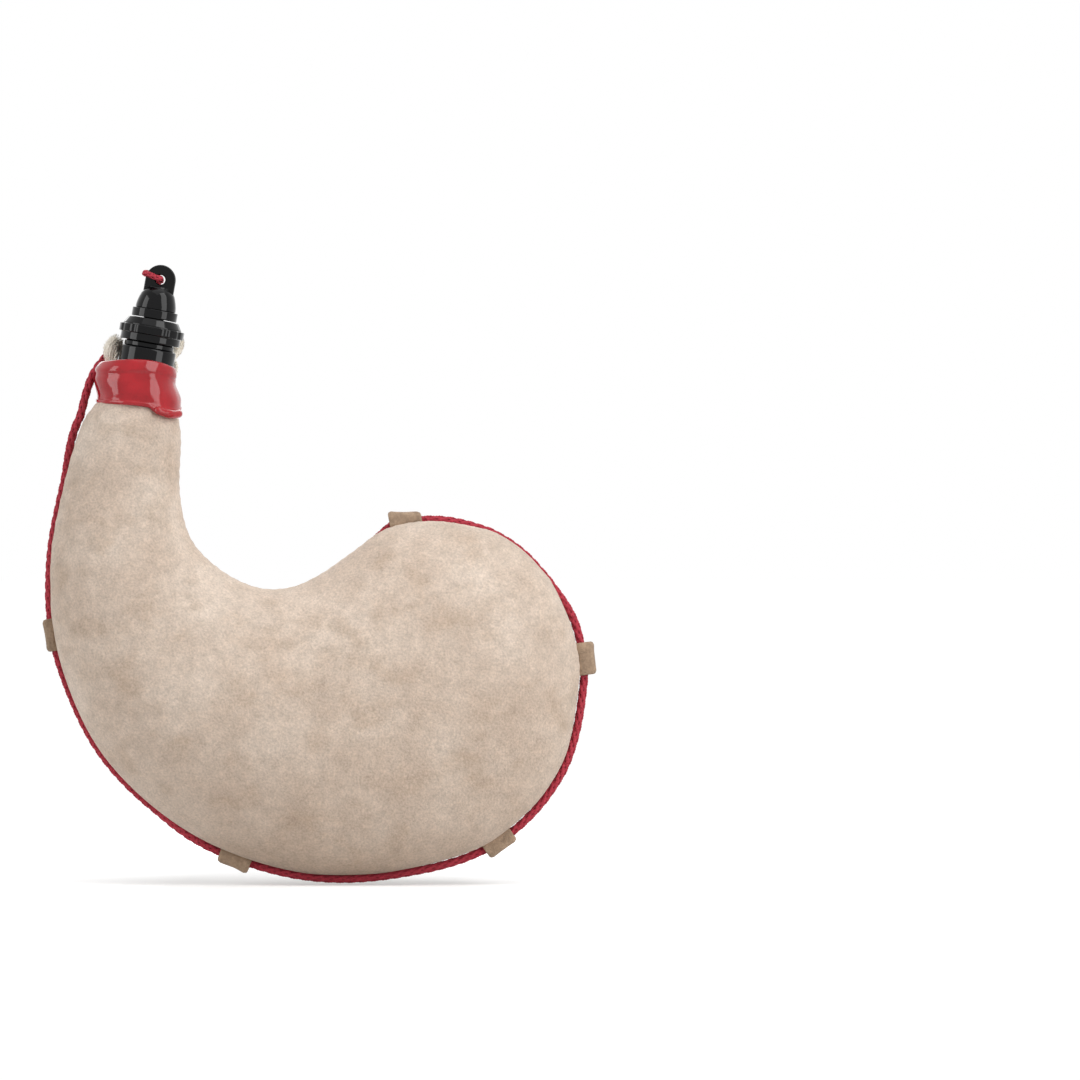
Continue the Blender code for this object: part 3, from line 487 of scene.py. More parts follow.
def outline_point(x_share, z_share, y_share=0.0):
    return Vector((
        BAG_X + x_share * sizes().bag_width,
        y_share * sizes().half_depth,
        BAG_BASE + z_share * sizes().bag_height,
    ))


def smooth_curve(points, per_span):
    """A Catmull-Rom curve through the points."""
    ends = [points[0] * 2 - points[1], *points, points[-1] * 2 - points[-2]]
    result = []
    for i in range(1, len(ends) - 2):
        a, b, c, d = ends[i - 1:i + 3]
        for step in range(per_span):
            t = step / per_span
            result.append(0.5 * (
                2 * b + (c - a) * t + (2 * a - 5 * b + 4 * c - d) * t ** 2
                + (3 * b - a - 3 * c + d) * t ** 3
            ))
    result.append(points[-1].copy())
    return result


def lengths_along(points):
    """How far along the polyline each of its points lies."""
    lengths = [0.0]
    for a, b in zip(points, points[1:]):
        lengths.append(lengths[-1] + (b - a).length)
    return lengths


def evenly_spaced(points, spacing):
    """Points along the polyline, about one spacing apart."""
    lengths = lengths_along(points)
    count = max(2, round(lengths[-1] / spacing))
    result = []
    span = 0
    for i in range(count + 1):
        target = lengths[-1] * i / count
        while span < len(points) - 2 and lengths[span + 1] < target:
            span += 1
        share = (target - lengths[span]) / (lengths[span + 1] - lengths[span])
        result.append(points[span].lerp(points[span + 1], min(1.0, share)))
    return result


def length_of(points):
    return lengths_along(points)[-1]


def direction_at(points, i):
    return (points[min(len(points) - 1, i + 1)] - points[max(0, i - 1)]).normalized()


def edge_outwards(along):
    """Square to a direction in the seam plane, on its left."""
    return Vector((along.z, 0.0, -along.x))


def angles(count):
    return [2 * math.pi * k / count for k in range(count)]


def quarter(steps):
    return [math.pi / 2 * i / steps for i in range(steps + 1)]


def round_ring(centre, side, up, wide, tall, sides):
    return [
        centre + side * (wide * math.cos(angle)) + up * (tall * math.sin(angle))
        for angle in angles(sides)
    ]


def carried_frames(points):
    """A direction and two square directions at each point, carried along without twist."""
    frames = []
    for i in range(len(points)):
        along = direction_at(points, i)
        side = (side - along * side.dot(along) if frames else along.orthogonal()).normalized()
        frames.append((along, side, along.cross(side)))
    return frames


def smooth_step(t):
    t = min(1.0, max(0.0, t))
    return t * t * (3 - 2 * t)


# Materials


class Nodes:
    """Adds nodes to a tree and joins them."""

    def __init__(self, tree):
        self.tree = tree

    def put(self, value, socket):
        """Join an output to the socket, or set the socket's own value."""
        if isinstance(value, bpy.types.NodeSocket):
            self.tree.links.new(value, socket)
        else:
            socket.default_value = value

    def add(self, kind, values=None, **settings):
        node = self.tree.nodes.new(kind)
        for key, value in settings.items():
            setattr(node, key, value)
        for key, value in (values or {}).items():
            self.put(value, node.inputs[key])
        return node

    def span(self, value, low, high, to_low=0.0, to_high=1.0):
        return self.add("ShaderNodeMapRange", {
            "Value": value, "From Min": low, "From Max": high, "To Min": to_low, "To Max": to_high,
        }).outputs["Result"]

    def math(self, operation, a, b):
        return self.add("ShaderNodeMath", {0: a, 1: b}, operation=operation).outputs["Value"]


class Recipe(Nodes):
    """One procedural material, whose nodes feed the Principled shader."""

    def __init__(self, name, roughness):
        self.material = bpy.data.materials.new(name)
        self.material.use_nodes = True
        super().__init__(self.material.node_tree)
        self.shader = self.tree.nodes["Principled BSDF"]
        self.set("Roughness", roughness)

    def set(self, socket, value):
        self.shader.inputs[socket].default_value = value
        return self

    def feed(self, socket, output):
        self.tree.links.new(output, self.shader.inputs[socket])
        return self

    def place(self, scale=(1.0, 1.0, 1.0), source="Object"):
        """Coordinates in metres in the frame, or along and around a cord's strand."""
        values = {"Vector": self.add("ShaderNodeTexCoord").outputs[source], "Scale": scale}
        return self.add("ShaderNodeMapping", values).outputs["Vector"]

    def noise(self, feature, detail=2.0, roughness=0.5, scale=(1.0, 1.0, 1.0), source="Object"):
        """Cloudy noise whose features are about that many metres across."""
        return self.add("ShaderNodeTexNoise", {
            "Vector": self.place(scale, source), "Scale": 1.0 / feature, "Detail": detail,
            "Roughness": roughness,
        }).outputs["Fac"]

    def mix(self, factor, a, b, blend_type="MIX"):
        node = self.add("ShaderNodeMix", data_type="RGBA", blend_type=blend_type)
        self.put(factor, node.inputs[0])
        for index, colour in ((6, a), (7, b)):
            is_output = isinstance(colour, bpy.types.NodeSocket)
            self.put(colour if is_output else (*colour[:3], 1.0), node.inputs[index])
        return node.outputs[2]

    def grey(self, value):
        channels = {"Red": value, "Green": value, "Blue": value}
        return self.add("ShaderNodeCombineColor", channels).outputs["Color"]

    def bump(self, *layers):
        """Layers of height: a 0 to 1 value, its depth in metres and its strength."""
        normal = None
        for height, depth, strength in layers:
            values = {"Height": height, "Distance": depth, "Strength": strength}
            if normal is not None:
                values["Normal"] = normal
            normal = self.add("ShaderNodeBump", values).outputs["Normal"]
        return self.feed("Normal", normal)


def suede_leather(name, brown=0.0):
    """Undyed suede: pale clouds, brown blotches, a speckled nap, a painted highlight that makes the
    edges paler, and painted shade that makes the base browner and darker.
    """
    shade = colours()
    recipe = Recipe(name, 0.93)
    clouds = recipe.span(recipe.noise(0.034, 4.0, 0.6), 0.36, 0.68)
    blotches = recipe.span(recipe.noise(0.021, 4.0, 0.6, (1.0, 1.0, 1.35)), 0.50, 0.76)
    mottle = recipe.span(recipe.noise(0.0055, 4.0, 0.65), 0.3, 0.7)
    speckle = recipe.span(recipe.noise(0.0010, 2.0, 0.6), 0.25, 0.75)
    colour = recipe.mix(clouds, shade.suede, shade.pale_suede_and_rim_light)
    colour = recipe.mix(recipe.math("MULTIPLY", blotches, 0.55), colour, shade.brown_suede_and_base_shade)
    if brown:
        colour = recipe.mix(brown, colour, shade.brown_suede_and_base_shade)
    else:
        # Painted highlight: the "edge" attribute makes the suede paler near the seam and on the
        # rolled edge, in place of light catching the rounded edge
        edge = recipe.add("ShaderNodeAttribute", attribute_name="edge").outputs["Fac"]
        colour = recipe.mix(recipe.math("MULTIPLY", edge, 0.45), colour, shade.pale_suede_and_rim_light)
    # Painted shade: the suede turns browner and darker towards the base, in a wide band and a
    # stronger narrow one at the very bottom
    height = recipe.add("ShaderNodeSeparateXYZ", {"Vector": recipe.place()})
    for top, strength in ((0.13, 0.3), (0.026, 0.5)):
        painted_base_shade = recipe.span(height.outputs["Z"], 0.0, top, strength, 0.0)
        colour = recipe.mix(painted_base_shade, colour, shade.brown_suede_and_base_shade)
    light = recipe.span(mottle, 0.0, 1.0, 0.88, 1.08)
    grain = recipe.span(speckle, 0.0, 1.0, 0.80, 1.15)
    tone = recipe.math("MULTIPLY", light, grain)
    if brown:
        handled = recipe.span(mottle, 0.0, 1.0, 0.72, 1.02)
        tone = recipe.math("MULTIPLY", tone, handled)
    colour = recipe.mix(1.0, colour, recipe.grey(tone), "MULTIPLY")
    recipe.feed("Base Color", colour)
    recipe.set("Sheen Weight", 0.22).set("Sheen Roughness", 0.55)
    recipe.set("Sheen Tint", (1.0, 0.93, 0.86, 1.0))
    recipe.set("Specular IOR Level", 0.1)
    recipe.bump((mottle, 0.35 * MM, 0.4), (speckle, 0.16 * MM, 0.9))
    return recipe.material


def braided_yarn(name, colour, fibre=0.35):
    """Dyed cotton yarn: fine fibres that run along each strand, darker in the valleys."""
    recipe = Recipe(name, 0.78)
    fibres = recipe.span(recipe.noise(0.05, 3.0, 0.65, (18.0, 1.0, 1.0), "UV"), 0.3, 0.7)
    wear = recipe.span(recipe.noise(0.006, 3.0, 0.6), 0.35, 0.7)
    dark = tuple(channel * (1.0 - fibre) for channel in colour)
    pale = tuple(min(1.0, channel * (1.0 + fibre) + 0.01) for channel in colour)
    shade = recipe.mix(fibres, dark, pale)
    shade = recipe.mix(recipe.math("MULTIPLY", wear, 0.25), shade, pale)
    recipe.feed("Base Color", shade)
    recipe.set("Sheen Weight", 0.25).set("Sheen Roughness", 0.4)
    recipe.set("Sheen Tint", (*pale, 1.0)).set("Specular IOR Level", 0.3)
    recipe.bump((fibres, 0.1 * MM, 0.6))
    return recipe.material


def glossy_collar(name):
    """Thick red film: a deep even colour under a wet gloss, with a few faint scuffs."""
    recipe = Recipe(name, 0.2)
    cloud = recipe.span(recipe.noise(0.009, 3.0, 0.5), 0.3, 0.7)
    shade = colours().collar
    deep = tuple(channel * 0.78 for channel in shade)
    recipe.feed("Base Color", recipe.mix(cloud, deep, shade))
    scuffs = recipe.span(recipe.noise(0.0022, 4.0, 0.7, (1.0, 1.0, 3.0)), 0.55, 0.8, 0.10, 0.24)
    recipe.feed("Roughness", scuffs)
    recipe.set("Coat Weight", 1.0).set("Coat Roughness", 0.08).set("Coat IOR", 1.3)
    recipe.set("Specular IOR Level", 0.1)
    ripples = recipe.noise(0.007, 2.0, 0.5)
    recipe.bump((ripples, 0.5 * MM, 0.6))
    return recipe.material


def moulded_black(name):
    """Polished black plastic with fine turning marks and a little dust in the gloss."""
    recipe = Recipe(name, 0.1)
    recipe.set("Base Color", (*colours().nozzle, 1.0))
    haze = recipe.span(recipe.noise(0.004, 4.0, 0.65), 0.35, 0.75, 0.05, 0.13)
    recipe.feed("Roughness", haze)
    recipe.set("Coat Weight", 1.0).set("Coat Roughness", 0.04).set("Coat IOR", 1.26)
    recipe.set("Specular IOR Level", 0.03)
    fine = recipe.noise(0.0016, 3.0, 0.6)
    recipe.bump((fine, 0.015 * MM, 0.2))
    return recipe.material


def soft_rubber(name, colour):
    recipe = Recipe(name, 0.62)
    cloud = recipe.noise(0.003, 3.0, 0.6)
    pale = tuple(channel * 1.5 + 0.01 for channel in colour)
    recipe.feed("Base Color", recipe.mix(cloud, colour, pale))
    recipe.bump((cloud, 0.05 * MM, 0.4))
    return recipe.material


# Meshes


def finished(name, bm, surface, body, nodes=(), smooth_angle=40.0):
    """A piece from the bmesh, on its body, standing for its CAD nodes."""
    mesh = bpy.data.meshes.new(name)
    bmesh.ops.recalc_face_normals(bm, faces=bm.faces[:])
    bm.to_mesh(mesh)
    bm.free()
    mesh.shade_smooth()
    mesh.set_sharp_from_angle(angle=math.radians(smooth_angle))
    mesh.materials.append(surface)
    piece = bpy.data.objects.new(name, mesh)
    bpy.context.scene.collection.objects.link(piece)
    if body:
        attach(piece, body)
    if nodes:
        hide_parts(*nodes)
    return piece


def loft(bm, rings, cap_start=True, cap_end=True):
    rows = [[bm.verts.new(point) for point in ring] for ring in rings]
    count = len(rows[0])
    for a, b in zip(rows, rows[1:]):
        for i in range(count):
            j = (i + 1) % count
            bm.faces.new((a[i], a[j], b[j], b[i]))
    if cap_start:
        bm.faces.new(rows[0])
    if cap_end:
        bm.faces.new(rows[-1])
    return rows


def strand(bm, centres, frames, wide, tall, sides=6):
    """A closed tube of elliptical section, with a UV that runs along and around it."""
    uv = bm.loops.layers.uv.verify()
    travelled = lengths_along(centres)
    rings = []
    for centre, (_, side, up) in zip(centres, frames):
        ring = round_ring(centre, side, up, wide, tall, sides)
        rings.append([bm.verts.new(point) for point in ring])
    for i in range(len(rings) - 1):
        for k in range(sides):
            j = (k + 1) % sides
            face = bm.faces.new((rings[i][k], rings[i][j], rings[i + 1][j], rings[i + 1][k]))
            corners = ((i, k), (i, k + 1), (i + 1, k + 1), (i + 1, k))
            for loop, (row, column) in zip(face.loops, corners):
                loop[uv].uv = (travelled[row], column / sides)
    bm.faces.new(rings[0])
    bm.faces.new(rings[-1])


def braid(bm, points, radius, strands=8, step=BRAID_STEP, part=(0.0, 1.0)):
    """A round braid: half the strands turn each way, and each goes over one and under one.

    Where only a part of the line is made, its strands go on in the other part's.
    """
    path = evenly_spaced(points, radius * step)
    frames = carried_frames(path)
    lengths = lengths_along(path)
    first, last = (round(share * (len(path) - 1)) for share in part)
    made = slice(first, last + 1)
    half = strands // 2
    middle, swing = radius * BRAID_MIDDLE, radius * BRAID_SWING
    wide, tall = radius * BRAID_GIRTH / strands * BRAID_OVERLAP, radius * BRAID_HEIGHT
    for index in range(strands):
        way = 1 if index < half else -1
        start = angles(half)[index % half]
        centres = []
        places = []
        for s, point, (_, side, up) in zip(lengths, path, frames):
            turned_by = 2 * math.pi * s / (radius * BRAID_TURN)
            angle = start + way * turned_by
            reach = middle + way * swing * math.cos(half * 2 * turned_by)
            places.append(side * math.cos(angle) + up * math.sin(angle))
            centres.append(point + places[-1] * reach)
        strand_frames = []
        for i, outwards in enumerate(places):
            along = direction_at(centres, i)
            strand_frames.append((along, outwards.cross(along).normalized(), outwards))
        strand(bm, centres[made], strand_frames[made], wide, tall)
    core = path[made][::3]
    strand(bm, core, carried_frames(core), radius * BRAID_CORE, radius * BRAID_CORE, 8)


def twist(bm, points, radius, step=TWIST_STEP):
    """A laid cord: a few plies that turn round each other."""
    path = evenly_spaced(points, radius * step)
    frames = carried_frames(path)
    turns = [2 * math.pi * s / (radius * TWIST_TURN) for s in lengths_along(path)]
    ply_radius = radius * TWIST_PLY
    for start in angles(TWIST_PLIES):
        centres = []
        ply_frames = []
        for point, (along, side, up), turn in zip(path, frames, turns):
            outwards = side * math.cos(start + turn) + up * math.sin(start + turn)
            centres.append(point + outwards * (radius - ply_radius))
            ply_frames.append((along, outwards.cross(along).normalized(), outwards))
        strand(bm, centres, ply_frames, ply_radius, ply_radius)


def fibres(bm, place, direction, spread, length, count, thickness):
    """Loose fibres of a cut end: thin hairs that fan out round the direction."""
    side = direction.orthogonal().normalized()
    up = direction.cross(side)
    for _ in range(count):
        pick = noise.random_unit_vector()
        sideways = side * pick.x + up * pick.y
        root = place + sideways * spread
        lean = direction * (1.1 + 0.3 * pick.z) + sideways * 0.9
        reach = length * (0.6 + 0.4 * abs(pick.z))
        bend = Vector((pick.y, pick.z, pick.x)) * reach * 0.35
        tip = root + lean.normalized() * reach
        hair = smooth_curve([root, root.lerp(tip, 0.5) + bend * 0.5, tip + bend], 2)
        strand(bm, hair, carried_frames(hair), thickness, thickness, 3)


def turned(bm, profile, steps, radius_at=None):
    """The closed profile of radius and height, turned about the neck's axis."""
    rings = []
    for angle in angles(steps):
        ring = []
        for radius, height in profile:
            if radius_at:
                radius, height = radius_at(angle, radius, height)
            ring.append(around_neck(radius, angle, height))
        rings.append([bm.verts.new(point) for point in ring])
    count = len(profile)
    for a, b in zip(rings, rings[1:] + rings[:1]):
        for k in range(count):
            j = (k + 1) % count
            bm.faces.new((a[k], b[k], b[j], a[j]))
    bmesh.ops.remove_doubles(bm, verts=bm.verts[:], dist=WELD)


def rounded(profile, radius, steps=3):
    """The closed profile with each corner turned into a small arc."""
    result = []
    count = len(profile)
    for i in range(count):
        before = Vector(profile[i - 1])
        corner = Vector(profile[i])
        after = Vector(profile[(i + 1) % count])
        to_before, to_after = before - corner, after - corner
        on_axis = corner.x < 0.01 * MM
        room = min(radius, to_before.length * 0.45, to_after.length * 0.45)
        if on_axis or room < 0.02 * MM:
            result.append(tuple(corner))
            continue
        first = corner + to_before.normalized() * room
        last = corner + to_after.normalized() * room
        if to_before.length > room * 3:
            result.append(tuple(first + to_before.normalized() * room * 0.3))
        for k in range(steps + 1):
            t = k / steps
            point = first * (1 - t) ** 2 + corner * 2 * t * (1 - t) + last * t ** 2
            result.append(tuple(point))
        if to_after.length > room * 3:
            result.append(tuple(last + to_after.normalized() * room * 0.3))
    return result


# The bag's form


class Section:
    """One cross-section of the bag, between its outer edge and its inner edge."""

    def __init__(self, outer, inner, depth, share):
        leather = sizes().leather
        self.outer = outer
        self.inner = inner
        self.depth = depth
        self.margin = NECK_LEATHER + (SEAM_MARGIN - NECK_LEATHER) * share
        self.rim = NECK_RIM + (leather - NECK_RIM) * share
        self.wall = NECK_LEATHER + (leather - NECK_LEATHER) * share
        self.power = 0.5 + (EDGE_FULLNESS - 0.5) * share

    def centre(self):
        return (self.outer + self.inner) / 2

    def half_width(self):
        return (self.inner - self.outer).length / 2

    def across(self):
        return (self.inner - self.outer).normalized()

    def fullness(self, u):
        return max(0.0, 1 - u * u) ** self.power

    def place(self, offset, y):
        return self.centre() + self.across() * offset + Vector((0.0, y, 0.0))

    def freedom(self):
        """How much of the soft dents this section may have: none where the neck is bound."""
        return min(1.0, max(0.0, (self.half_width() - NECK_RADIUS) / (12.0 * MM)))


def neck_section(along, radius):
    half = NOZZLE_ACROSS * radius
    centre = neck_point(0.0, 0.0, along)
    return Section(centre - half, centre + half, radius - SEAM_HALF_GAP, 0.0)


def bag_sections(per_row):
    """Sections from the top of the neck to the tip of the bag."""
    mouth = neck_section(0.0, NECK_MOUTH_RADIUS)
    rows = [(mouth.outer, mouth.inner, mouth.depth)]
    for outer_x, outer_z, inner_x, inner_z, depth in ROW_SHARES:
        rows.append((
            outline_point(outer_x, outer_z),
            outline_point(inner_x, inner_z),
            max(sizes().leather, depth * sizes().half_depth),
        ))
    outers = smooth_curve([row[0] for row in rows], per_row)
    inners = smooth_curve([row[1] for row in rows], per_row)
    depths = smooth_curve([Vector((row[2], 0.0, 0.0)) for row in rows], per_row)
    sections = [
        neck_section(NECK_TOP, NECK_RADIUS),
        neck_section((NECK_TOP + NECK_FLARE_START) / 2, NECK_RADIUS),
        neck_section(NECK_FLARE_START, NECK_RADIUS),
    ]
    for i, (outer, inner, depth) in enumerate(zip(outers, inners, depths)):
        share = min(1.0, (i * 2.0 / per_row + 1) / 4.0)
        sections.append(Section(outer, inner, max(sizes().leather, depth.x), share))
    return sections


def edge_line(sections):
    """The bag's edge in the seam plane, from the neck's left side round the tip to the right."""
    return [s.outer for s in sections] + [s.inner for s in reversed(sections)]


def offset_line(points, distance):
    """The line moved outwards, square to itself."""
    return [
        point + edge_outwards(direction_at(points, i)) * distance for i, point in enumerate(points)
    ]


def nearest_on(points, target):
    """The place on the polyline that is nearest to the target, its direction and its span."""
    best = None
    for i, (a, b) in enumerate(zip(points, points[1:])):
        along = b - a
        if along.length < 1e-9:
            continue
        share = min(1.0, max(0.0, (target - a).dot(along) / along.length_squared))
        place = a + along * share
        far = (target - place).length
        if best is None or far < best[0]:
            best = (far, place, along.normalized(), i)
    return best[1:]


def surface_dent(point):
    """Soft hollows and swellings of hand-worked leather, in metres."""
    slow = noise.noise(point * DENT_SLOW + Vector((3.1, 0.0, 7.7)))
    quick = noise.noise(point * DENT_QUICK + Vector((1.7, 5.2, 0.0)))
    return DENT_DEPTH * slow + DENT_DEPTH * DENT_QUICK_SHARE * quick


def panel_ring(section, side, near_tip, at_tip):
    """The panel's section: points of its roll, its outside and its hollow, each with its station.

    Only the outside has stations, from -1 at the outer edge to 1 at the inner edge.
    """
    stations = [-math.cos(math.pi * i / PANEL_STEPS) for i in range(PANEL_STEPS + 1)]
    half = section.half_width()
    hollow_half = max(half - section.margin, half * 0.2)
    hollow_depth = max(0.0, section.depth - section.wall) * near_tip
    hollow_gap = ROLL_END if at_tip else SEAM_HALF_GAP
    roll = [(
        ROLL_INSET * (1 - math.sin(angle)),
        ROLL_END + (SEAM_HALF_GAP + section.rim - ROLL_END) * (1 - math.cos(angle)),
    ) for angle in quarter(ROLL_STEPS)[:-1]]
    ring = [(section.place(-half + inset, side * y), None) for inset, y in roll]
    for u in stations:
        height = section.rim + (section.depth - section.rim) * section.fullness(u)
        ring.append((section.place(half * u, side * (SEAM_HALF_GAP + height)), u))
    ring += [(section.place(half - inset, side * y), None) for inset, y in reversed(roll)]
    for u in reversed(stations[::4]):
        height = hollow_depth * section.fullness(u)
        ring.append((section.place(hollow_half * u, side * (hollow_gap + height)), None))
    return ring


def leather_panel(name, side, sections, surface, node):
    """Half of the bag: a lofted shell whose edge rolls in and is drawn by the stitches."""
    outer_lengths = lengths_along([section.outer for section in sections])
    inner_lengths = lengths_along([section.inner for section in sections])
    last = len(sections) - 1
    rings = []
    for index, section in enumerate(sections):
        near_tip = min(1.0, (last - index) / 10.0)
        rings.append(panel_ring(section, side, near_tip, index == last))
    bm = bmesh.new()
    # The "edge" layer is the mask of the painted rim light: 1 on the roll and the hollow, fading
    # from the seam inwards
    painted_rim_light_layer = bm.verts.layers.float.new("edge")
    rows = loft(bm, [[point for point, _ in ring] for ring in rings])
    moves = []
    for index, (section, ring, row) in enumerate(zip(sections, rings, rows)):
        for (point, u), vertex in zip(ring, row):
            if u is None:
                vertex[painted_rim_light_layer] = 1.0
                continue
            gone = (outer_lengths if u < 0 else inner_lengths)[index]
            reach = section.half_width() * (1 - abs(u)) + (abs(point.y) - SEAM_HALF_GAP) * 0.8
            vertex[painted_rim_light_layer] = math.exp(-reach / PAINTED_RIM_LIGHT_REACH)
            pull = 0.5 + 0.5 * math.cos(2 * math.pi * gone / STITCH_PITCH)
            pucker = -PUCKER_DEPTH * pull * math.exp(-reach / PUCKER_REACH)
            free = smooth_step((reach - DENT_FREE_FROM) / DENT_FREE_OVER) * section.freedom()
            moves.append((vertex, pucker + surface_dent(point) * free))
    bmesh.ops.recalc_face_normals(bm, faces=bm.faces[:])
    bm.normal_update()
    shifts = [(vertex, vertex.normal.copy() * move) for vertex, move in moves]
    for vertex, shift in shifts:
        vertex.co += shift
    finished(name, bm, surface, "bag", [node], 60.0)


def strap_line(sections):
    """The strap's centreline: down from the neck, round the edge through the loops, to the back."""
    edge = evenly_spaced(edge_line(sections[3:]), STRAP_STEP)
    stops = [nearest_on(edge, outline_point(row[0], row[1]))[2] for row in LOOPS.values()]
    rests = [row[2] * MM for row in LOOPS.values()]
    first = round(STRAP_START / STRAP_STEP)
    last = stops[-1] + round(LOOP_LENGTH / 2 / STRAP_STEP) + 1
    reach = LOOP_LENGTH / 2 + STRAP_STEP
    route = neck_points(STRAP_NECK_ROUTE)
    for i in range(first, last + 1):
        span = min(sum(1 for stop in stops if stop < i), len(STRAP_SPANS) - 1)
        gaps = [abs(i - stop) * STRAP_STEP - reach for stop in stops]
        ramp = smooth_step(min(*gaps, (i - first) * STRAP_STEP) / STRAP_RAMP)
        rest = sizes().strap_radius + CORD_GAP
        if i - first > STRAP_RAMP / STRAP_STEP:
            rest = rests[gaps.index(min(gaps))]
        out, back = (value * MM for value in STRAP_SPANS[span])
        outwards = edge_outwards(direction_at(edge, i))
        place = edge[i] + outwards * (rest + (out - rest) * ramp ** 2)
        route.append(place + BACKWARDS * back * ramp)
    route += [outline_point(*shares) for shares in STRAP_END_ROUTE]
    return smooth_curve(route, 3)


def knot_route(centre, facing, towards, size, tail):
    """An overhand knot that opens towards the cord it ends, and the tail that leaves it."""
    up = -(towards - centre)
    up = (up - facing * up.dot(facing)).normalized()
    side = up.cross(facing)
    points = []
    for i in range(KNOT_STEPS + 1):
        t = math.pi + KNOT_OPENING + (2 * math.pi - 2 * KNOT_OPENING) * i / KNOT_STEPS
        x = math.sin(t) + 2 * math.sin(2 * t)
        y = math.cos(t) - 2 * math.cos(2 * t)
        z = -1.5 * math.sin(3 * t)
        points.append(centre + (side * x + up * y + facing * z) * size)
    return smooth_curve([towards, *points, *tail], 2)


def knot(node, body, surface, centre, facing, towards, axes):
    """A braided overhand knot for the node, with a frayed tail that passes places on the axes."""
    *lengths, count, seed, tail = KNOTS[node]
    size, radius, spread, length, thickness = (value * MM for value in lengths)
    ends = []
    for row in tail:
        end = centre.copy()
        for axis, value in zip(axes, row):
            end = end + axis * value * MM
        ends.append(end)
    route = knot_route(centre, facing, towards, size, ends)
    bm = bmesh.new()
    braid(bm, route, radius, step=KNOT_STEP)
    noise.seed_set(seed)
    fibres(bm, route[-1], direction_at(route, len(route) - 1), spread, length, count, thickness)
    finished(node + "_braid", bm, surface, body, [node])


def moulding(name, profile, edge, steps, surface, body, node, smooth_angle=30.0, radius_at=None):
    """A turned piece with soft corners."""
    bm = bmesh.new()
    turned(bm, rounded(profile, edge), steps, radius_at)
    finished(name, bm, surface, body, [node], smooth_angle)


# Operators


class BotaPiece:
    """What every operator of the bag shares."""

    bl_options = {"REGISTER", "UNDO"}


class BOTA_OT_stage(BotaPiece, bpy.types.Operator):
    """Make the camera, the soft lights and the white floor."""

    bl_idname = "bota.stage"
    bl_label = "Camera, lights and floor"

    def execute(self, context):
        scene = bpy.context.scene
        camera_data = bpy.data.cameras.new("camera")
        camera_data.sensor_width = SENSOR_WIDTH_MM
        camera_data.lens = VIEW_DISTANCE * SENSOR_WIDTH_MM / VIEW_WIDTH
        camera_data.clip_start, camera_data.clip_end = VIEW_CLIP
        camera = bpy.data.objects.new("camera", camera_data)
        camera.location = (VIEW_X, -VIEW_DISTANCE, VIEW_Z)
        camera.rotation_euler = (math.pi / 2, 0.0, 0.0)
        scene.collection.objects.link(camera)
        scene.camera = camera
        scene.view_settings.view_transform = "Standard"
        for name, row in LAMPS.items():
            self.softbox(name, *row)
        self.world(scene)
        self.floor(scene)
        return {"FINISHED"}

    def softbox(self, name, azimuth, elevation, distance, size, radiance):
        """An area lamp that faces the bag."""
        a, e = math.radians(azimuth), math.radians(elevation)
        away = Vector((math.sin(a) * math.cos(e), -math.cos(a) * math.cos(e), math.sin(e)))
        lamp_data = bpy.data.lights.new(name, "AREA")
        lamp_data.shape = "RECTANGLE"
        lamp_data.size, lamp_data.size_y = size
        lamp_data.energy = radiance * math.pi * size[0] * size[1]
        lamp = bpy.data.objects.new(name, lamp_data)
        lamp.location = LAMPS_AIM + away * distance
        lamp.rotation_euler = away.to_track_quat("Z", "Y").to_euler()
        bpy.context.scene.collection.objects.link(lamp)

    def world(self, scene):
        """White where the camera, gloss and glass look, and a plain soft fill for the rest."""
        world = bpy.data.worlds.new("studio")
        world.use_nodes = True
        scene.world = world
        nodes = Nodes(world.node_tree)
        background = nodes.tree.nodes["Background"]
        nodes.put(WHITE, background.inputs["Color"])
        strength = nodes.span(self.seen(nodes), 0.0, 1.0, STUDIO_FILL, 1.0)
        nodes.put(strength, background.inputs["Strength"])

    def seen(self, nodes):
        """1 for the rays that show the background: the camera's, and those of gloss and glass."""
        rays = nodes.add("ShaderNodeLightPath").outputs
        total = nodes.math("MAXIMUM", rays["Is Camera Ray"], rays["Is Glossy Ray"])
        return nodes.math("MAXIMUM", total, rays["Is Transmission Ray"])

    def floor(self, scene):
        """A white floor that shows the bag's shadow and otherwise melts into the background."""
        recipe = Recipe("white_floor", 1.0)
        recipe.set("Specular IOR Level", 0.0).set("Emission Color", WHITE)
        place = recipe.place(FLOOR_SCALE)
        away = recipe.add("ShaderNodeVectorMath", {0: place}, operation="LENGTH").outputs["Value"]
        recipe.feed("Base Color", recipe.grey(recipe.span(away, *FLOOR_PAINT)))
        glow = recipe.span(away, *FLOOR_GLOW)
        recipe.feed("Emission Strength", recipe.math("MULTIPLY", self.seen(recipe), glow))
        bm = bmesh.new()
        bmesh.ops.create_grid(bm, x_segments=1, y_segments=1, size=FLOOR_HALF_SIZE)
        mesh = bpy.data.meshes.new("floor")
        bm.to_mesh(mesh)
        bm.free()
        mesh.materials.append(recipe.material)
        floor = bpy.data.objects.new("floor", mesh)
        floor.location = (0.0, 0.0, CAD_LOW.z)
        scene.collection.objects.link(floor)


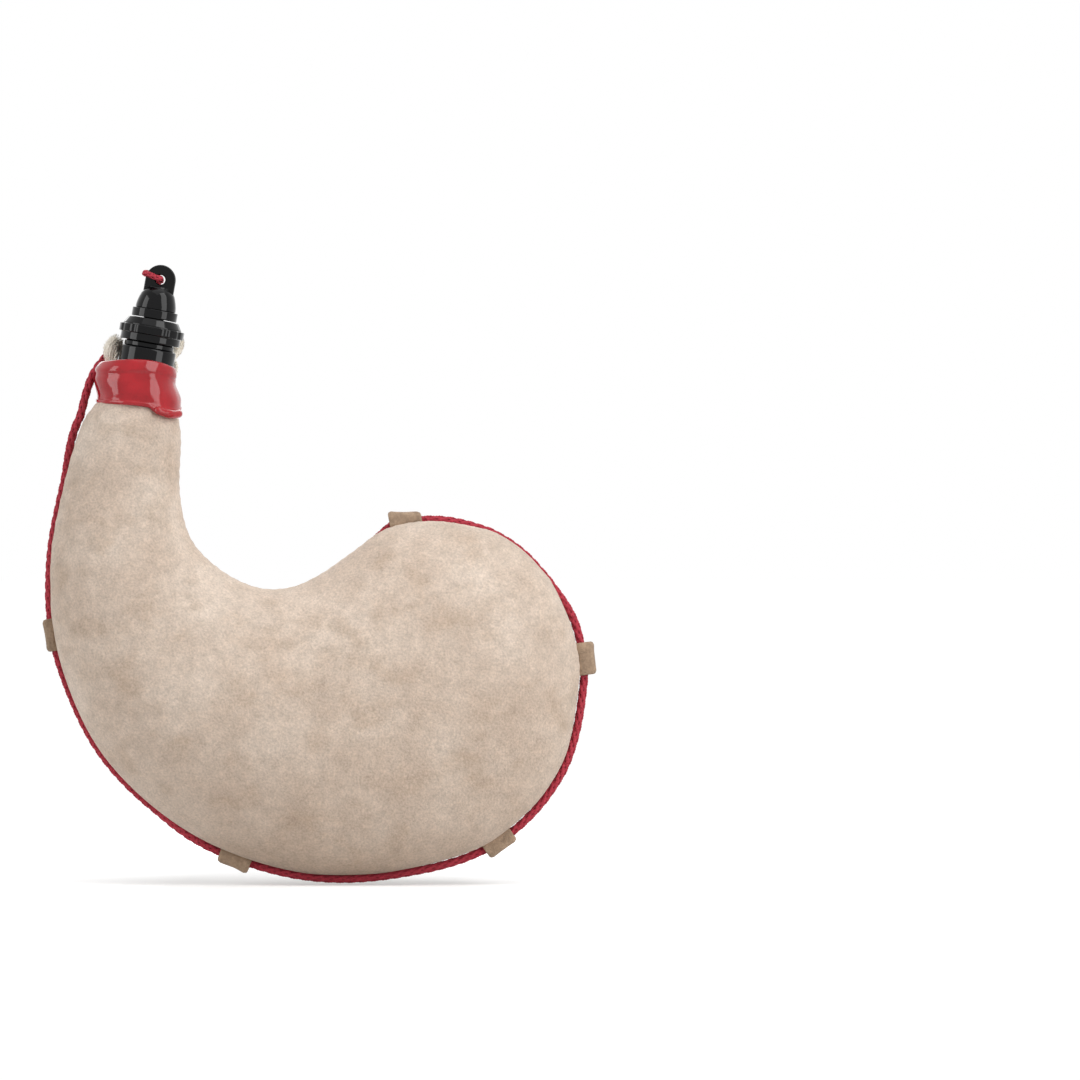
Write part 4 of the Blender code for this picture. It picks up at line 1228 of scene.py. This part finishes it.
class BOTA_OT_cap_leash(BotaPiece, bpy.types.Operator):
    """Make the braided leash that hangs from the cap's knot behind the nozzle."""

    bl_idname = "bota.cap_leash"
    bl_label = "Cap leash"

    def execute(self, context):
        route = smooth_curve(neck_points(LEASH_ROUTE), 6)
        surface = braided_yarn("leash_yarn", colours().strap)
        split = evenly_spaced(route[:LEASH_SPLIT + 1], STRAP_STEP)
        share = length_of(route[:LEASH_SPLIT + 1]) / length_of(route)
        upper = self.stretch("cap_leash_top_braid", route, split, surface, (0.0, share), "object")
        lower = self.stretch(
            "cap_leash_braid", route, route[LEASH_SPLIT:], surface, (share, 1.0), "knot",
        )
        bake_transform(upper)
        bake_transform(lower)
        return {"FINISHED"}

    def stretch(self, name, route, path, surface, part, far_end):
        """The part of the leash between two shares of its length."""
        radius = sizes().leash_radius
        bm = bmesh.new()
        braid(bm, route, radius, part=part)
        piece = finished(name, bm, surface, None, ["cap_leash"])
        return piece


class BOTA_OT_leather(BotaPiece, bpy.types.Operator):
    """Make the front and the back panel of suede."""

    bl_idname = "bota.leather"
    bl_label = "Leather panels"

    def execute(self, context):
        sections = bag_sections(10)
        surface = suede_leather("suede")
        leather_panel("suede_front", -1.0, sections, surface, "leather_front_panel")
        leather_panel("suede_back", 1.0, sections, surface, "leather_back_panel")
        return {"FINISHED"}


class BOTA_OT_seam(BotaPiece, bpy.types.Operator):
    """Make the natural cord that is sewn into the seam, and its soft ends beside the nozzle."""

    bl_idname = "bota.seam"
    bl_label = "Seam cord and its ends"

    def execute(self, context):
        surface = braided_yarn("natural_yarn", colours().natural_cord, 0.16)
        line = offset_line(edge_line(bag_sections(6)[1:]), -SEAM_CORD_INSET)
        binding_top = BINDING_BOTTOM + BINDING_TURNS * BINDING_CORD
        wall = NECK_RADIUS - NECK_LEATHER / 2
        rise = [neck_point(wall, 0.0, NECK_FLARE_START), neck_point(wall, 0.0, binding_top)]
        fall = [neck_point(-wall, 0.0, binding_top), neck_point(-wall, 0.0, NECK_FLARE_START)]
        left = neck_points(SEAM_CORD_LEFT_END)
        right = neck_points(SEAM_CORD_RIGHT_END)
        bm = bmesh.new()
        twist(bm, left + fall + line[1:-1] + rise + right, SEAM_CORD_RADIUS)
        finished("seam_cord", bm, surface, "bag", ["seam_braid"])
        self.stub("seam_cord_end_left", STUB_LEFT, surface, "braid_knot_left")
        self.stub("seam_cord_end_right", STUB_RIGHT, surface, "braid_knot_right")
        return {"FINISHED"}

    def stub(self, name, rows, surface, node):
        """A fat soft end of cord: bundles of cotton that swell above the collar and fray."""
        centres = smooth_curve(neck_points(rows), 6)
        widths = smooth_curve([Vector((row[3] * MM, 0.0, 0.0)) for row in rows], 6)
        radii = [width.x for width in widths]
        frames = carried_frames(centres)
        bm = bmesh.new()
        for start in angles(STUB_BUNDLES):
            rings = []
            for i, (centre, radius, (along, side, up)) in enumerate(zip(centres, radii, frames)):
                angle = start + STUB_BUNDLE_TURN * i
                outwards = side * math.cos(angle) + up * math.sin(angle)
                sideways = outwards.cross(along).normalized()
                middle = centre + outwards * radius * STUB_BUNDLE_PLACE
                rings.append([
                    middle + (sideways * math.cos(turn) + outwards * math.sin(turn)) * radius
                    * STUB_BUNDLE_RADIUS for turn in angles(8)
                ])
            loft(bm, rings)
        noise.seed_set(7)
        for i in range(3, len(centres), 2):
            fibres(
                bm, centres[i], frames[i][0], radii[i] * 0.95, STUB_FIBRE_LENGTH, STUB_FIBRES,
                STUB_FIBRE_RADIUS,
            )
        finished(name, bm, surface, "bag", [node])


class BOTA_OT_strap(BotaPiece, bpy.types.Operator):
    """Make the braided strap round the bag's edge, with a knot at each end."""

    bl_idname = "bota.strap"
    bl_label = "Strap and its knots"

    def execute(self, context):
        surface = braided_yarn("strap_yarn", colours().strap)
        route = strap_line(bag_sections(6))
        bm = bmesh.new()
        braid(bm, route, sizes().strap_radius, sizes().strap_strands)
        finished("strap_braid", bm, surface, "bag", ["strap_cord"])
        centre = around_neck(NECK_KNOT_RADIUS, NECK_KNOT_ANGLE, NECK_KNOT_Z)
        facing = (centre - neck_point(0.0, 0.0, NECK_KNOT_Z)).normalized()
        axes = (facing, NOZZLE_ACROSS, NOZZLE_AXIS)
        knot("strap_neck_knot", "bag", surface, centre, facing, route[0], axes)
        centre = outline_point(*STRAP_END_KNOT_SHARES) + BACKWARDS * STRAP_END_KNOT_STAND_OFF
        facing = Vector((0.0, 1.0, STRAP_END_KNOT_TILT)).normalized()
        knot("strap_end_knot", "bag", surface, centre, facing, route[-1], Matrix.Identity(3))
        return {"FINISHED"}


class BOTA_OT_loops(BotaPiece, bpy.types.Operator):
    """Make the leather strips that hold the strap on the bag's edge."""

    bl_idname = "bota.loops"
    bl_label = "Strap loops"

    def execute(self, context):
        surface = suede_leather("loop_suede", 0.95)
        edge = edge_line(bag_sections(6))
        for name, row in LOOPS.items():
            self.loop(name, edge, row, surface)
        return {"FINISHED"}

    def outline(self, reach_out, inset):
        """The strip's section: distances out from the edge and from the seam plane."""
        inner_half = sizes().strap_radius + LOOP_SLACK + inset
        outer_half = sizes().strap_radius + LOOP_SLACK + LOOP_LEATHER - inset

        def half_ring(reach, half, corner):
            points = [(LOOP_FOOT, half * 0.72), (0.0, half * 0.96), (LOOP_LIP, half)]
            points += [(
                reach - corner + corner * math.sin(angle), half - corner + corner * math.cos(angle),
            ) for angle in quarter(CORNER_STEPS)]
            return points + [(n, -y) for n, y in reversed(points)]

        outer = half_ring(reach_out - inset, outer_half, LOOP_CORNER)
        inner = half_ring(
            reach_out - LOOP_LEATHER + inset, inner_half, LOOP_CORNER - LOOP_LEATHER / 2,
        )
        return outer + list(reversed(inner))

    def loop(self, name, edge, row, surface):
        first_reach, last_reach = (value * MM for value in row[3:])
        place, along, _ = nearest_on(edge, outline_point(*row[:2]))
        outwards = edge_outwards(along)
        end_shares = {1: LOOP_END_SHARE, LOOP_STEPS - 1: 1 - LOOP_END_SHARE}
        rings = []
        for i in range(LOOP_STEPS + 1):
            t = i / LOOP_STEPS
            inset = LOOP_END_INSETS[min(i, LOOP_STEPS - i, 2)]
            share = end_shares.get(i, t)
            bite = max(0.0, 1 - min(share, 1 - share) * LOOP_LENGTH / LOOP_ROUND)
            rounding = LOOP_ROUND * 0.6 * (1 - (1 - bite ** 2) ** 0.5)
            reach_out = first_reach + (last_reach - first_reach) * t - rounding
            sag = LOOP_SAG * math.sin(math.pi * t)
            middle = place + along * LOOP_LENGTH * (share - 0.5)
            ring = []
            for n, y in self.outline(reach_out, inset):
                point = middle + outwards * n + BACKWARDS * y
                wave = noise.noise(point * 190.0) * LOOP_WAVE
                free = min(1.0, max(0.0, n / LOOP_FREE_FROM))
                ring.append(point + outwards * (wave - sag) * free)
            rings.append(ring)
        bm = bmesh.new()
        loft(bm, rings)
        finished(name + "_suede", bm, surface, "bag", [name], 50.0)


class BOTA_OT_collar(BotaPiece, bpy.types.Operator):
    """Make the glossy red collar and its rounded tail."""

    bl_idname = "bota.collar"
    bl_label = "Collar and its tail"

    def execute(self, context):
        surface = glossy_collar("glossy_red")
        outer = smooth_curve([Vector(shares) for shares in COLLAR_OUTER_SHARES], 5)
        inner = smooth_curve([Vector(shares) for shares in COLLAR_INNER_SHARES], 3)
        profile = [(p.x * COLLAR_RADIUS, p.y * COLLAR_HEIGHT) for p in outer + inner]
        lining = set(profile[len(outer):])

        def uneven(angle, radius, height):
            """Lumps, a crease under the top band, and a lean that is less than the nozzle's."""
            share = height / COLLAR_HEIGHT
            around = Vector((math.sin(angle), math.cos(angle), 0.0))
            lump = noise.noise(around * 1.7 + Vector((0.0, 0.0, share * 2.4)))
            dent = noise.noise(around * 3.6 + Vector((4.0, 0.0, share * 3.6)))
            crease_share = share - COLLAR_CREASE_SHARE - 0.04 * math.sin(angle * 2 + 1)
            crease = math.exp(-(crease_share / COLLAR_CREASE_WIDTH) ** 2)
            left = max(0.0, -around.x)
            push = -around.x * smooth_step((share - 0.08) / 0.5) * COLLAR_PUSH
            bulge = math.exp(-((share - COLLAR_BULGE_SHARE) / COLLAR_BULGE_WIDTH) ** 2)
            push += left ** 2 * (bulge * 2.0 - 0.3) * MM
            slack = 0.8 * (1 - 0.6 * abs(around.x))
            shift = COLLAR_LUMPS * lump + COLLAR_DENTS * dent - COLLAR_CREASE * crease
            shift = push * 0.6 if (radius, height) in lining else shift * slack * MM + push
            level = around.x * radius * COLLAR_LEVEL
            wander = noise.noise(around * 1.3 + Vector((9.0, 0.0, 0.0)))
            wander = (1 - share) ** 3 * wander * COLLAR_WANDER
            crown = share ** 3 * COLLAR_ARCH * (1 - 2.7 * around.x ** 2)
            start, grown_over, end, gone_over = COLLAR_LOBE_ARC
            turned_to = math.degrees(angle)
            lobe = smooth_step((turned_to - start) / grown_over)
            lobe *= 1 - smooth_step((turned_to - end) / gone_over)
            lobe *= COLLAR_LOBE * (1 - share) ** 4
            settled = height * (1 - COLLAR_SHRINK) - COLLAR_DROP
            return radius + shift + 0.15 * lobe, settled + level + wander + crown - lobe

        bm = bmesh.new()
        turned(bm, profile, COLLAR_STEPS, uneven)
        finished("collar_film", bm, surface, "bag", ["red_collar"], 70.0)
        self.tail(surface)
        return {"FINISHED"}

    def tail(self, surface):
        """The rounded end that sticks out under the collar in front."""
        centres = []
        radii = []
        for i in range(TAIL_STEPS + 1):
            t = i / TAIL_STEPS
            angle = TAIL_START + (TAIL_END - TAIL_START) * t
            drop = TAIL_DROP + TAIL_SAG * math.sin(math.pi * t) - TAIL_LIFT * t
            centres.append(around_neck(TAIL_STAND_OFF + TAIL_SWAY * t, angle, -drop))
            end = min(1.0, min(t, 1 - t) * TAIL_STEPS / TAIL_ROUND_STEPS)
            radii.append(max(TAIL_RADIUS * (1 - (1 - end) ** 2) ** 0.5, TAIL_LEAST_RADIUS))
        rings = []
        for centre, radius, (_, side, up) in zip(centres, radii, carried_frames(centres)):
            ring = []
            for angle in angles(TAIL_SIDES):
                point = centre + (side * math.cos(angle) + up * math.sin(angle)) * radius
                ring.append(point + (point - centre) * TAIL_LUMPS * noise.noise(point * 260.0))
            rings.append(ring)
        bm = bmesh.new()
        loft(bm, rings)
        finished("collar_tail_film", bm, surface, "bag", ["collar_tail"], 80.0)


class BOTA_OT_binding(BotaPiece, bpy.types.Operator):
    """Make the turns of twine that bind the leather on the insert, under the collar."""

    bl_idname = "bota.binding"
    bl_label = "Neck binding"

    def execute(self, context):
        surface = braided_yarn("binding_yarn", colours().natural_cord, 0.2)
        steps = BINDING_STEPS * BINDING_TURNS
        points = []
        for i in range(steps + 1):
            rise = BINDING_BOTTOM + BINDING_CORD * (0.5 + (BINDING_TURNS - 1) * i / steps)
            points.append(around_neck(BINDING_RADIUS, 2 * math.pi * i / BINDING_STEPS, rise))
        bm = bmesh.new()
        twist(bm, points, BINDING_CORD * BINDING_SQUEEZE, BINDING_STEP)
        finished("binding_twine", bm, surface, "bag", ["neck_binding"])
        return {"FINISHED"}


class BOTA_OT_nozzle(BotaPiece, bpy.types.Operator):
    """Make the black neck insert, the mouthpiece and the cap with its tab."""

    bl_idname = "bota.nozzle"
    bl_label = "Insert, mouthpiece and cap"

    def execute(self, context):
        surface = moulded_black("gloss_black")
        insert = [
            (SPIGOT_RADIUS, SPIGOT_TOP), (SPIGOT_RADIUS, INSERT_GROOVE_TOP),
            (INSERT_GROOVE_RADIUS, INSERT_GROOVE_TOP), (INSERT_GROOVE_RADIUS, INSERT_BODY_TOP),
            (INSERT_BODY_RADIUS - INSERT_CHAMFER, INSERT_BODY_TOP),
            (INSERT_BODY_RADIUS, INSERT_BODY_TOP - INSERT_CHAMFER),
            (INSERT_BODY_RADIUS, INSERT_SHOULDER_Z), (INSERT_STEM_RADIUS, INSERT_SHOULDER_Z),
            (INSERT_STEM_RADIUS, INSERT_BOTTOM), (INSERT_BORE, INSERT_BOTTOM),
            (INSERT_BORE, SPIGOT_TOP),
        ]
        moulding("insert_moulding", insert, MOULD_EDGE, 96, surface, "bag", "neck_insert")
        self.mouthpiece(surface)
        self.cap(surface)
        return {"FINISHED"}

    def mouthpiece(self, surface):
        profile = [
            (SPOUT_RADIUS, SPOUT_TOP), (SPOUT_RADIUS, NUT_TOP), (NUT_TOP_RADIUS, NUT_TOP),
            (NUT_SHOULDER_RADIUS, NUT_RIDGE_TOP + MOULD_EDGE),
            (NUT_SHOULDER_RADIUS, NUT_RIDGE_TOP), (NUT_RIDGE_RADIUS, NUT_RIDGE_TOP),
            (NUT_RIDGE_RADIUS, NUT_RIDGE_BOTTOM), (NUT_RADIUS, NUT_RIDGE_BOTTOM),
            (NUT_RADIUS, NUT_BOTTOM), (NUT_BORE, NUT_BOTTOM), (NUT_BORE, NUT_CEILING),
            (SPOUT_JET_RADIUS, NUT_CEILING), (SPOUT_JET_RADIUS, SPOUT_TOP),
        ]

        def notched(angle, radius, height):
            """Short flutes in the ridge, one at each twelfth of a turn."""
            if radius > NUT_RADIUS + 0.3 * MM:
                turn = angle * NOTCH_COUNT / (2 * math.pi)
                near = abs(turn - round(turn)) * 2 * math.pi / NOTCH_COUNT * radius
                radius -= NOTCH_DEPTH * (1 - smooth_step((near - NOTCH_FLAT) / NOTCH_SLOPE))
            return radius, height

        moulding(
            "mouthpiece_moulding", profile, MOULD_EDGE, 144, surface, "mouthpiece_head",
            "mouthpiece", radius_at=notched,
        )

    def cap(self, surface):
        dome_base = CAP_BOTTOM + CAP_FLANGE_HEIGHT
        dome = [Vector((0.0, 1.0))]
        dome += [Vector(share) for share in reversed(CAP_DOME_SHARES)]
        dome.append(Vector((1.0, 0.0)))
        profile = []
        for point in smooth_curve(dome, 8):
            bead = math.exp(-((point.x - CAP_BEAD_SHARE) / 0.05) ** 2) * CAP_BEAD
            profile.append((
                point.x * CAP_DOME_RADIUS + bead * 0.5,
                dome_base + point.y * CAP_DOME_HEIGHT + bead,
            ))
        foot = [
            (CAP_FLANGE_RADIUS, dome_base), (CAP_FLANGE_RADIUS, CAP_BOTTOM),
            (CAP_BORE, CAP_BOTTOM), (CAP_BORE, CAP_CEILING), (0.0, CAP_CEILING),
        ]
        bm = bmesh.new()
        turned(bm, profile[:-1] + rounded([profile[-1], *foot], MOULD_EDGE), 96)
        self.tab(bm)
        finished("cap_moulding", bm, surface, "cap_head", ["cap"], 30.0)

    def tab(self, bm):
        """The flat tab with a round top, an eyelet and softened edges."""
        curve = bpy.data.curves.new("cap_tab", "CURVE")
        curve.dimensions = "2D"
        curve.fill_mode = "BOTH"
        curve.extrude = CAP_TAB_THICKNESS / 2 - CAP_TAB_EDGE
        curve.bevel_depth = CAP_TAB_EDGE
        curve.bevel_resolution = 3
        half = CAP_TAB_WIDTH / 2 - CAP_TAB_EDGE
        top = CAP_TOP - CAP_TAB_EDGE - half
        rim = [(-half, CAP_TAB_BOTTOM), (half, CAP_TAB_BOTTOM)]
        for angle in angles(2 * CAP_TAB_STEPS)[:CAP_TAB_STEPS + 1]:
            rim.append((half * math.cos(angle), top + half * math.sin(angle)))
        eyelet = CAP_TOP - EYELET_BELOW_TOP
        reach = EYELET_RADIUS + CAP_TAB_EDGE
        hole = [
            (reach * math.cos(angle), eyelet - reach * math.sin(angle))
            for angle in angles(EYELET_STEPS)
        ]
        for outline in (rim, hole):
            spline = curve.splines.new("POLY")
            spline.points.add(len(outline) - 1)
            for target, (x, y) in zip(spline.points, outline):
                target.co = (x, y, 0.0, 1.0)
            spline.use_cyclic_u = True
        flat = bpy.data.objects.new("cap_tab", curve)
        bpy.context.scene.collection.objects.link(flat)
        bpy.context.view_layer.update()
        made = flat.evaluated_get(bpy.context.evaluated_depsgraph_get())
        mesh = bpy.data.meshes.new_from_object(made)
        bpy.data.objects.remove(flat, do_unlink=True)
        turn = Matrix((NOZZLE_ACROSS, BACKWARDS, NOZZLE_AXIS)).transposed()
        upright = Matrix.Rotation(math.pi / 2, 3, "X")
        mesh.transform(Matrix.Translation(NECK_ORIGIN) @ (turn @ upright).to_4x4())
        bm.from_mesh(mesh)
        bpy.data.meshes.remove(mesh)
        bmesh.ops.remove_doubles(bm, verts=bm.verts[:], dist=WELD)


class BOTA_OT_leash_eye(BotaPiece, bpy.types.Operator):
    """Make the leash's end through the eyelet and its stopper knot."""

    bl_idname = "bota.leash_eye"
    bl_label = "Leash eye and knot"

    def execute(self, context):
        radius = sizes().leash_radius * LEASH_EYE_SQUEEZE
        surface = braided_yarn("leash_eye_yarn", colours().strap)
        reach = radius + CORD_GAP * 0.4
        front = CAP_TAB_THICKNESS / 2
        side = CAP_TAB_WIDTH / 2 - LEASH_EYE_BITE
        hole = reach - EYELET_RADIUS - LEASH_EYE_SHIFT
        turns = [
            (hole - reach, -front, 0.0, 0.4),
            (-side, -front, math.pi / 2, 1.1),
            (-side, front, math.pi, 1.5),
        ]
        flat = [(hole, LEASH_EYE_END, -0.1), (hole, front + reach, 0.2), (hole, front, 0.35)]
        for corner_x, corner_y, first, rise in turns:
            for angle in quarter(CORNER_STEPS):
                x = corner_x + reach * math.cos(first + angle)
                flat.append((x, corner_y - reach * math.sin(first + angle), rise))
        flat += [(-side * 0.62, front + 1.6 * reach, 0.9), (-side * 0.5, LEASH_EYE_END, 0.2)]
        height = CAP_TOP - EYELET_BELOW_TOP
        route = [neck_point(x, y, height + radius * rise) for x, y, rise in flat]
        bm = bmesh.new()
        braid(bm, smooth_curve(route, 3), radius)
        finished("leash_eye_braid", bm, surface, "cap_head", ["leash_eye"])
        axes = (NOZZLE_ACROSS, BACKWARDS, NOZZLE_AXIS)
        centre = neck_point(*LEASH_KNOT)
        knot("leash_knot", "cap_head", surface, centre, BACKWARDS, route[0], axes)
        return {"FINISHED"}


class BOTA_OT_seals(BotaPiece, bpy.types.Operator):
    """Make the gasket, the washer and the bladder inside."""

    bl_idname = "bota.seals"
    bl_label = "Seals and liner"

    def execute(self, context):
        rubber = soft_rubber("grey_rubber", (0.05, 0.05, 0.05))
        gasket = (SPIGOT_RADIUS, GASKET_INNER_RADIUS, GASKET_BOTTOM, GASKET_TOP)
        washer = (SPOUT_RADIUS, SPOUT_JET_RADIUS, WASHER_BOTTOM, WASHER_TOP)
        self.ring("gasket_ring", gasket, 64, rubber, "mouthpiece_seal", "mouthpiece_gasket")
        self.ring("washer_ring", washer, 48, rubber, "cap_seal", "cap_washer")
        self.bladder(soft_rubber("dark_latex", (0.10, 0.07, 0.05)))
        return {"FINISHED"}

    def ring(self, name, size, steps, surface, body, node):
        outer, inner, bottom, top = size
        profile = [(outer, top), (outer, bottom), (inner, bottom), (inner, top)]
        moulding(name, profile, SEAL_EDGE, steps, surface, body, node, 40.0)

    def bladder(self, surface):
        """The thin-walled bag inside the leather, open at the neck, slightly wrinkled."""
        sections = [neck_section(LINER_TOP, NECK_RADIUS), *bag_sections(5)[2:-9]]

        def wrinkled(section, inset):
            half = section.half_width() - section.margin - inset
            depth = SEAM_HALF_GAP + section.depth - section.wall - inset
            points = []
            for angle in angles(LINER_STEPS):
                y = depth * section.fullness(math.cos(angle)) * math.copysign(1.0, math.sin(angle))
                point = section.place(half * math.cos(angle), y)
                crumple = 0.5 + 0.5 * noise.noise(point * LINER_CRUMPLE)
                points.append(point + (section.centre() - point) * LINER_WRINKLE * crumple)
            return points

        bm = bmesh.new()
        wall = LINER_CLEARANCE + LINER_WALL
        outside = loft(bm, [wrinkled(s, LINER_CLEARANCE) for s in sections], cap_start=False)
        inside = loft(bm, [wrinkled(s, wall) for s in sections[:-1]], cap_start=False)
        for k in range(LINER_STEPS):
            j = (k + 1) % LINER_STEPS
            bm.faces.new((outside[0][k], outside[0][j], inside[0][j], inside[0][k]))
        finished("bladder", bm, surface, "bag", ["inner_liner"], 60.0)


class BOTA_PT_panel(bpy.types.Panel):
    """The bag's sizes, colours and pieces."""

    bl_idname = "BOTA_PT_panel"
    bl_label = "Bota bag"
    bl_space_type = "VIEW_3D"
    bl_region_type = "UI"
    bl_category = "Bota bag"

    def draw(self, context):
        layout = self.layout
        for group in (context.scene.bota_sizes, context.scene.bota_colours):
            box = layout.box()
            for name in group.__annotations__:
                box.prop(group, name)
        for operator in PIECES:
            layout.operator(operator.bl_idname)


PIECES = (
    BOTA_OT_stage,
    BOTA_OT_cap_leash,
    BOTA_OT_leather,
    BOTA_OT_seam,
    BOTA_OT_strap,
    BOTA_OT_loops,
    BOTA_OT_collar,
    BOTA_OT_binding,
    BOTA_OT_nozzle,
    BOTA_OT_leash_eye,
    BOTA_OT_seals,
)
CLASSES = (BotaBagSizes, BotaBagColours, *PIECES, BOTA_PT_panel)


def register():
    for cls in CLASSES:
        bpy.utils.register_class(cls)
    bpy.types.Scene.bota_sizes = PointerProperty(type=BotaBagSizes)
    bpy.types.Scene.bota_colours = PointerProperty(type=BotaBagColours)


def unregister():
    del bpy.types.Scene.bota_sizes
    del bpy.types.Scene.bota_colours
    for cls in reversed(CLASSES):
        bpy.utils.unregister_class(cls)


def main():
    register()
    bpy.ops.bota.stage()
    bpy.ops.bota.cap_leash()
    bpy.ops.bota.leather()
    bpy.ops.bota.seam()
    bpy.ops.bota.strap()
    bpy.ops.bota.loops()
    bpy.ops.bota.collar()
    bpy.ops.bota.binding()
    bpy.ops.bota.nozzle()
    bpy.ops.bota.leash_eye()
    bpy.ops.bota.seals()


if __name__ == "__main__":
    main()
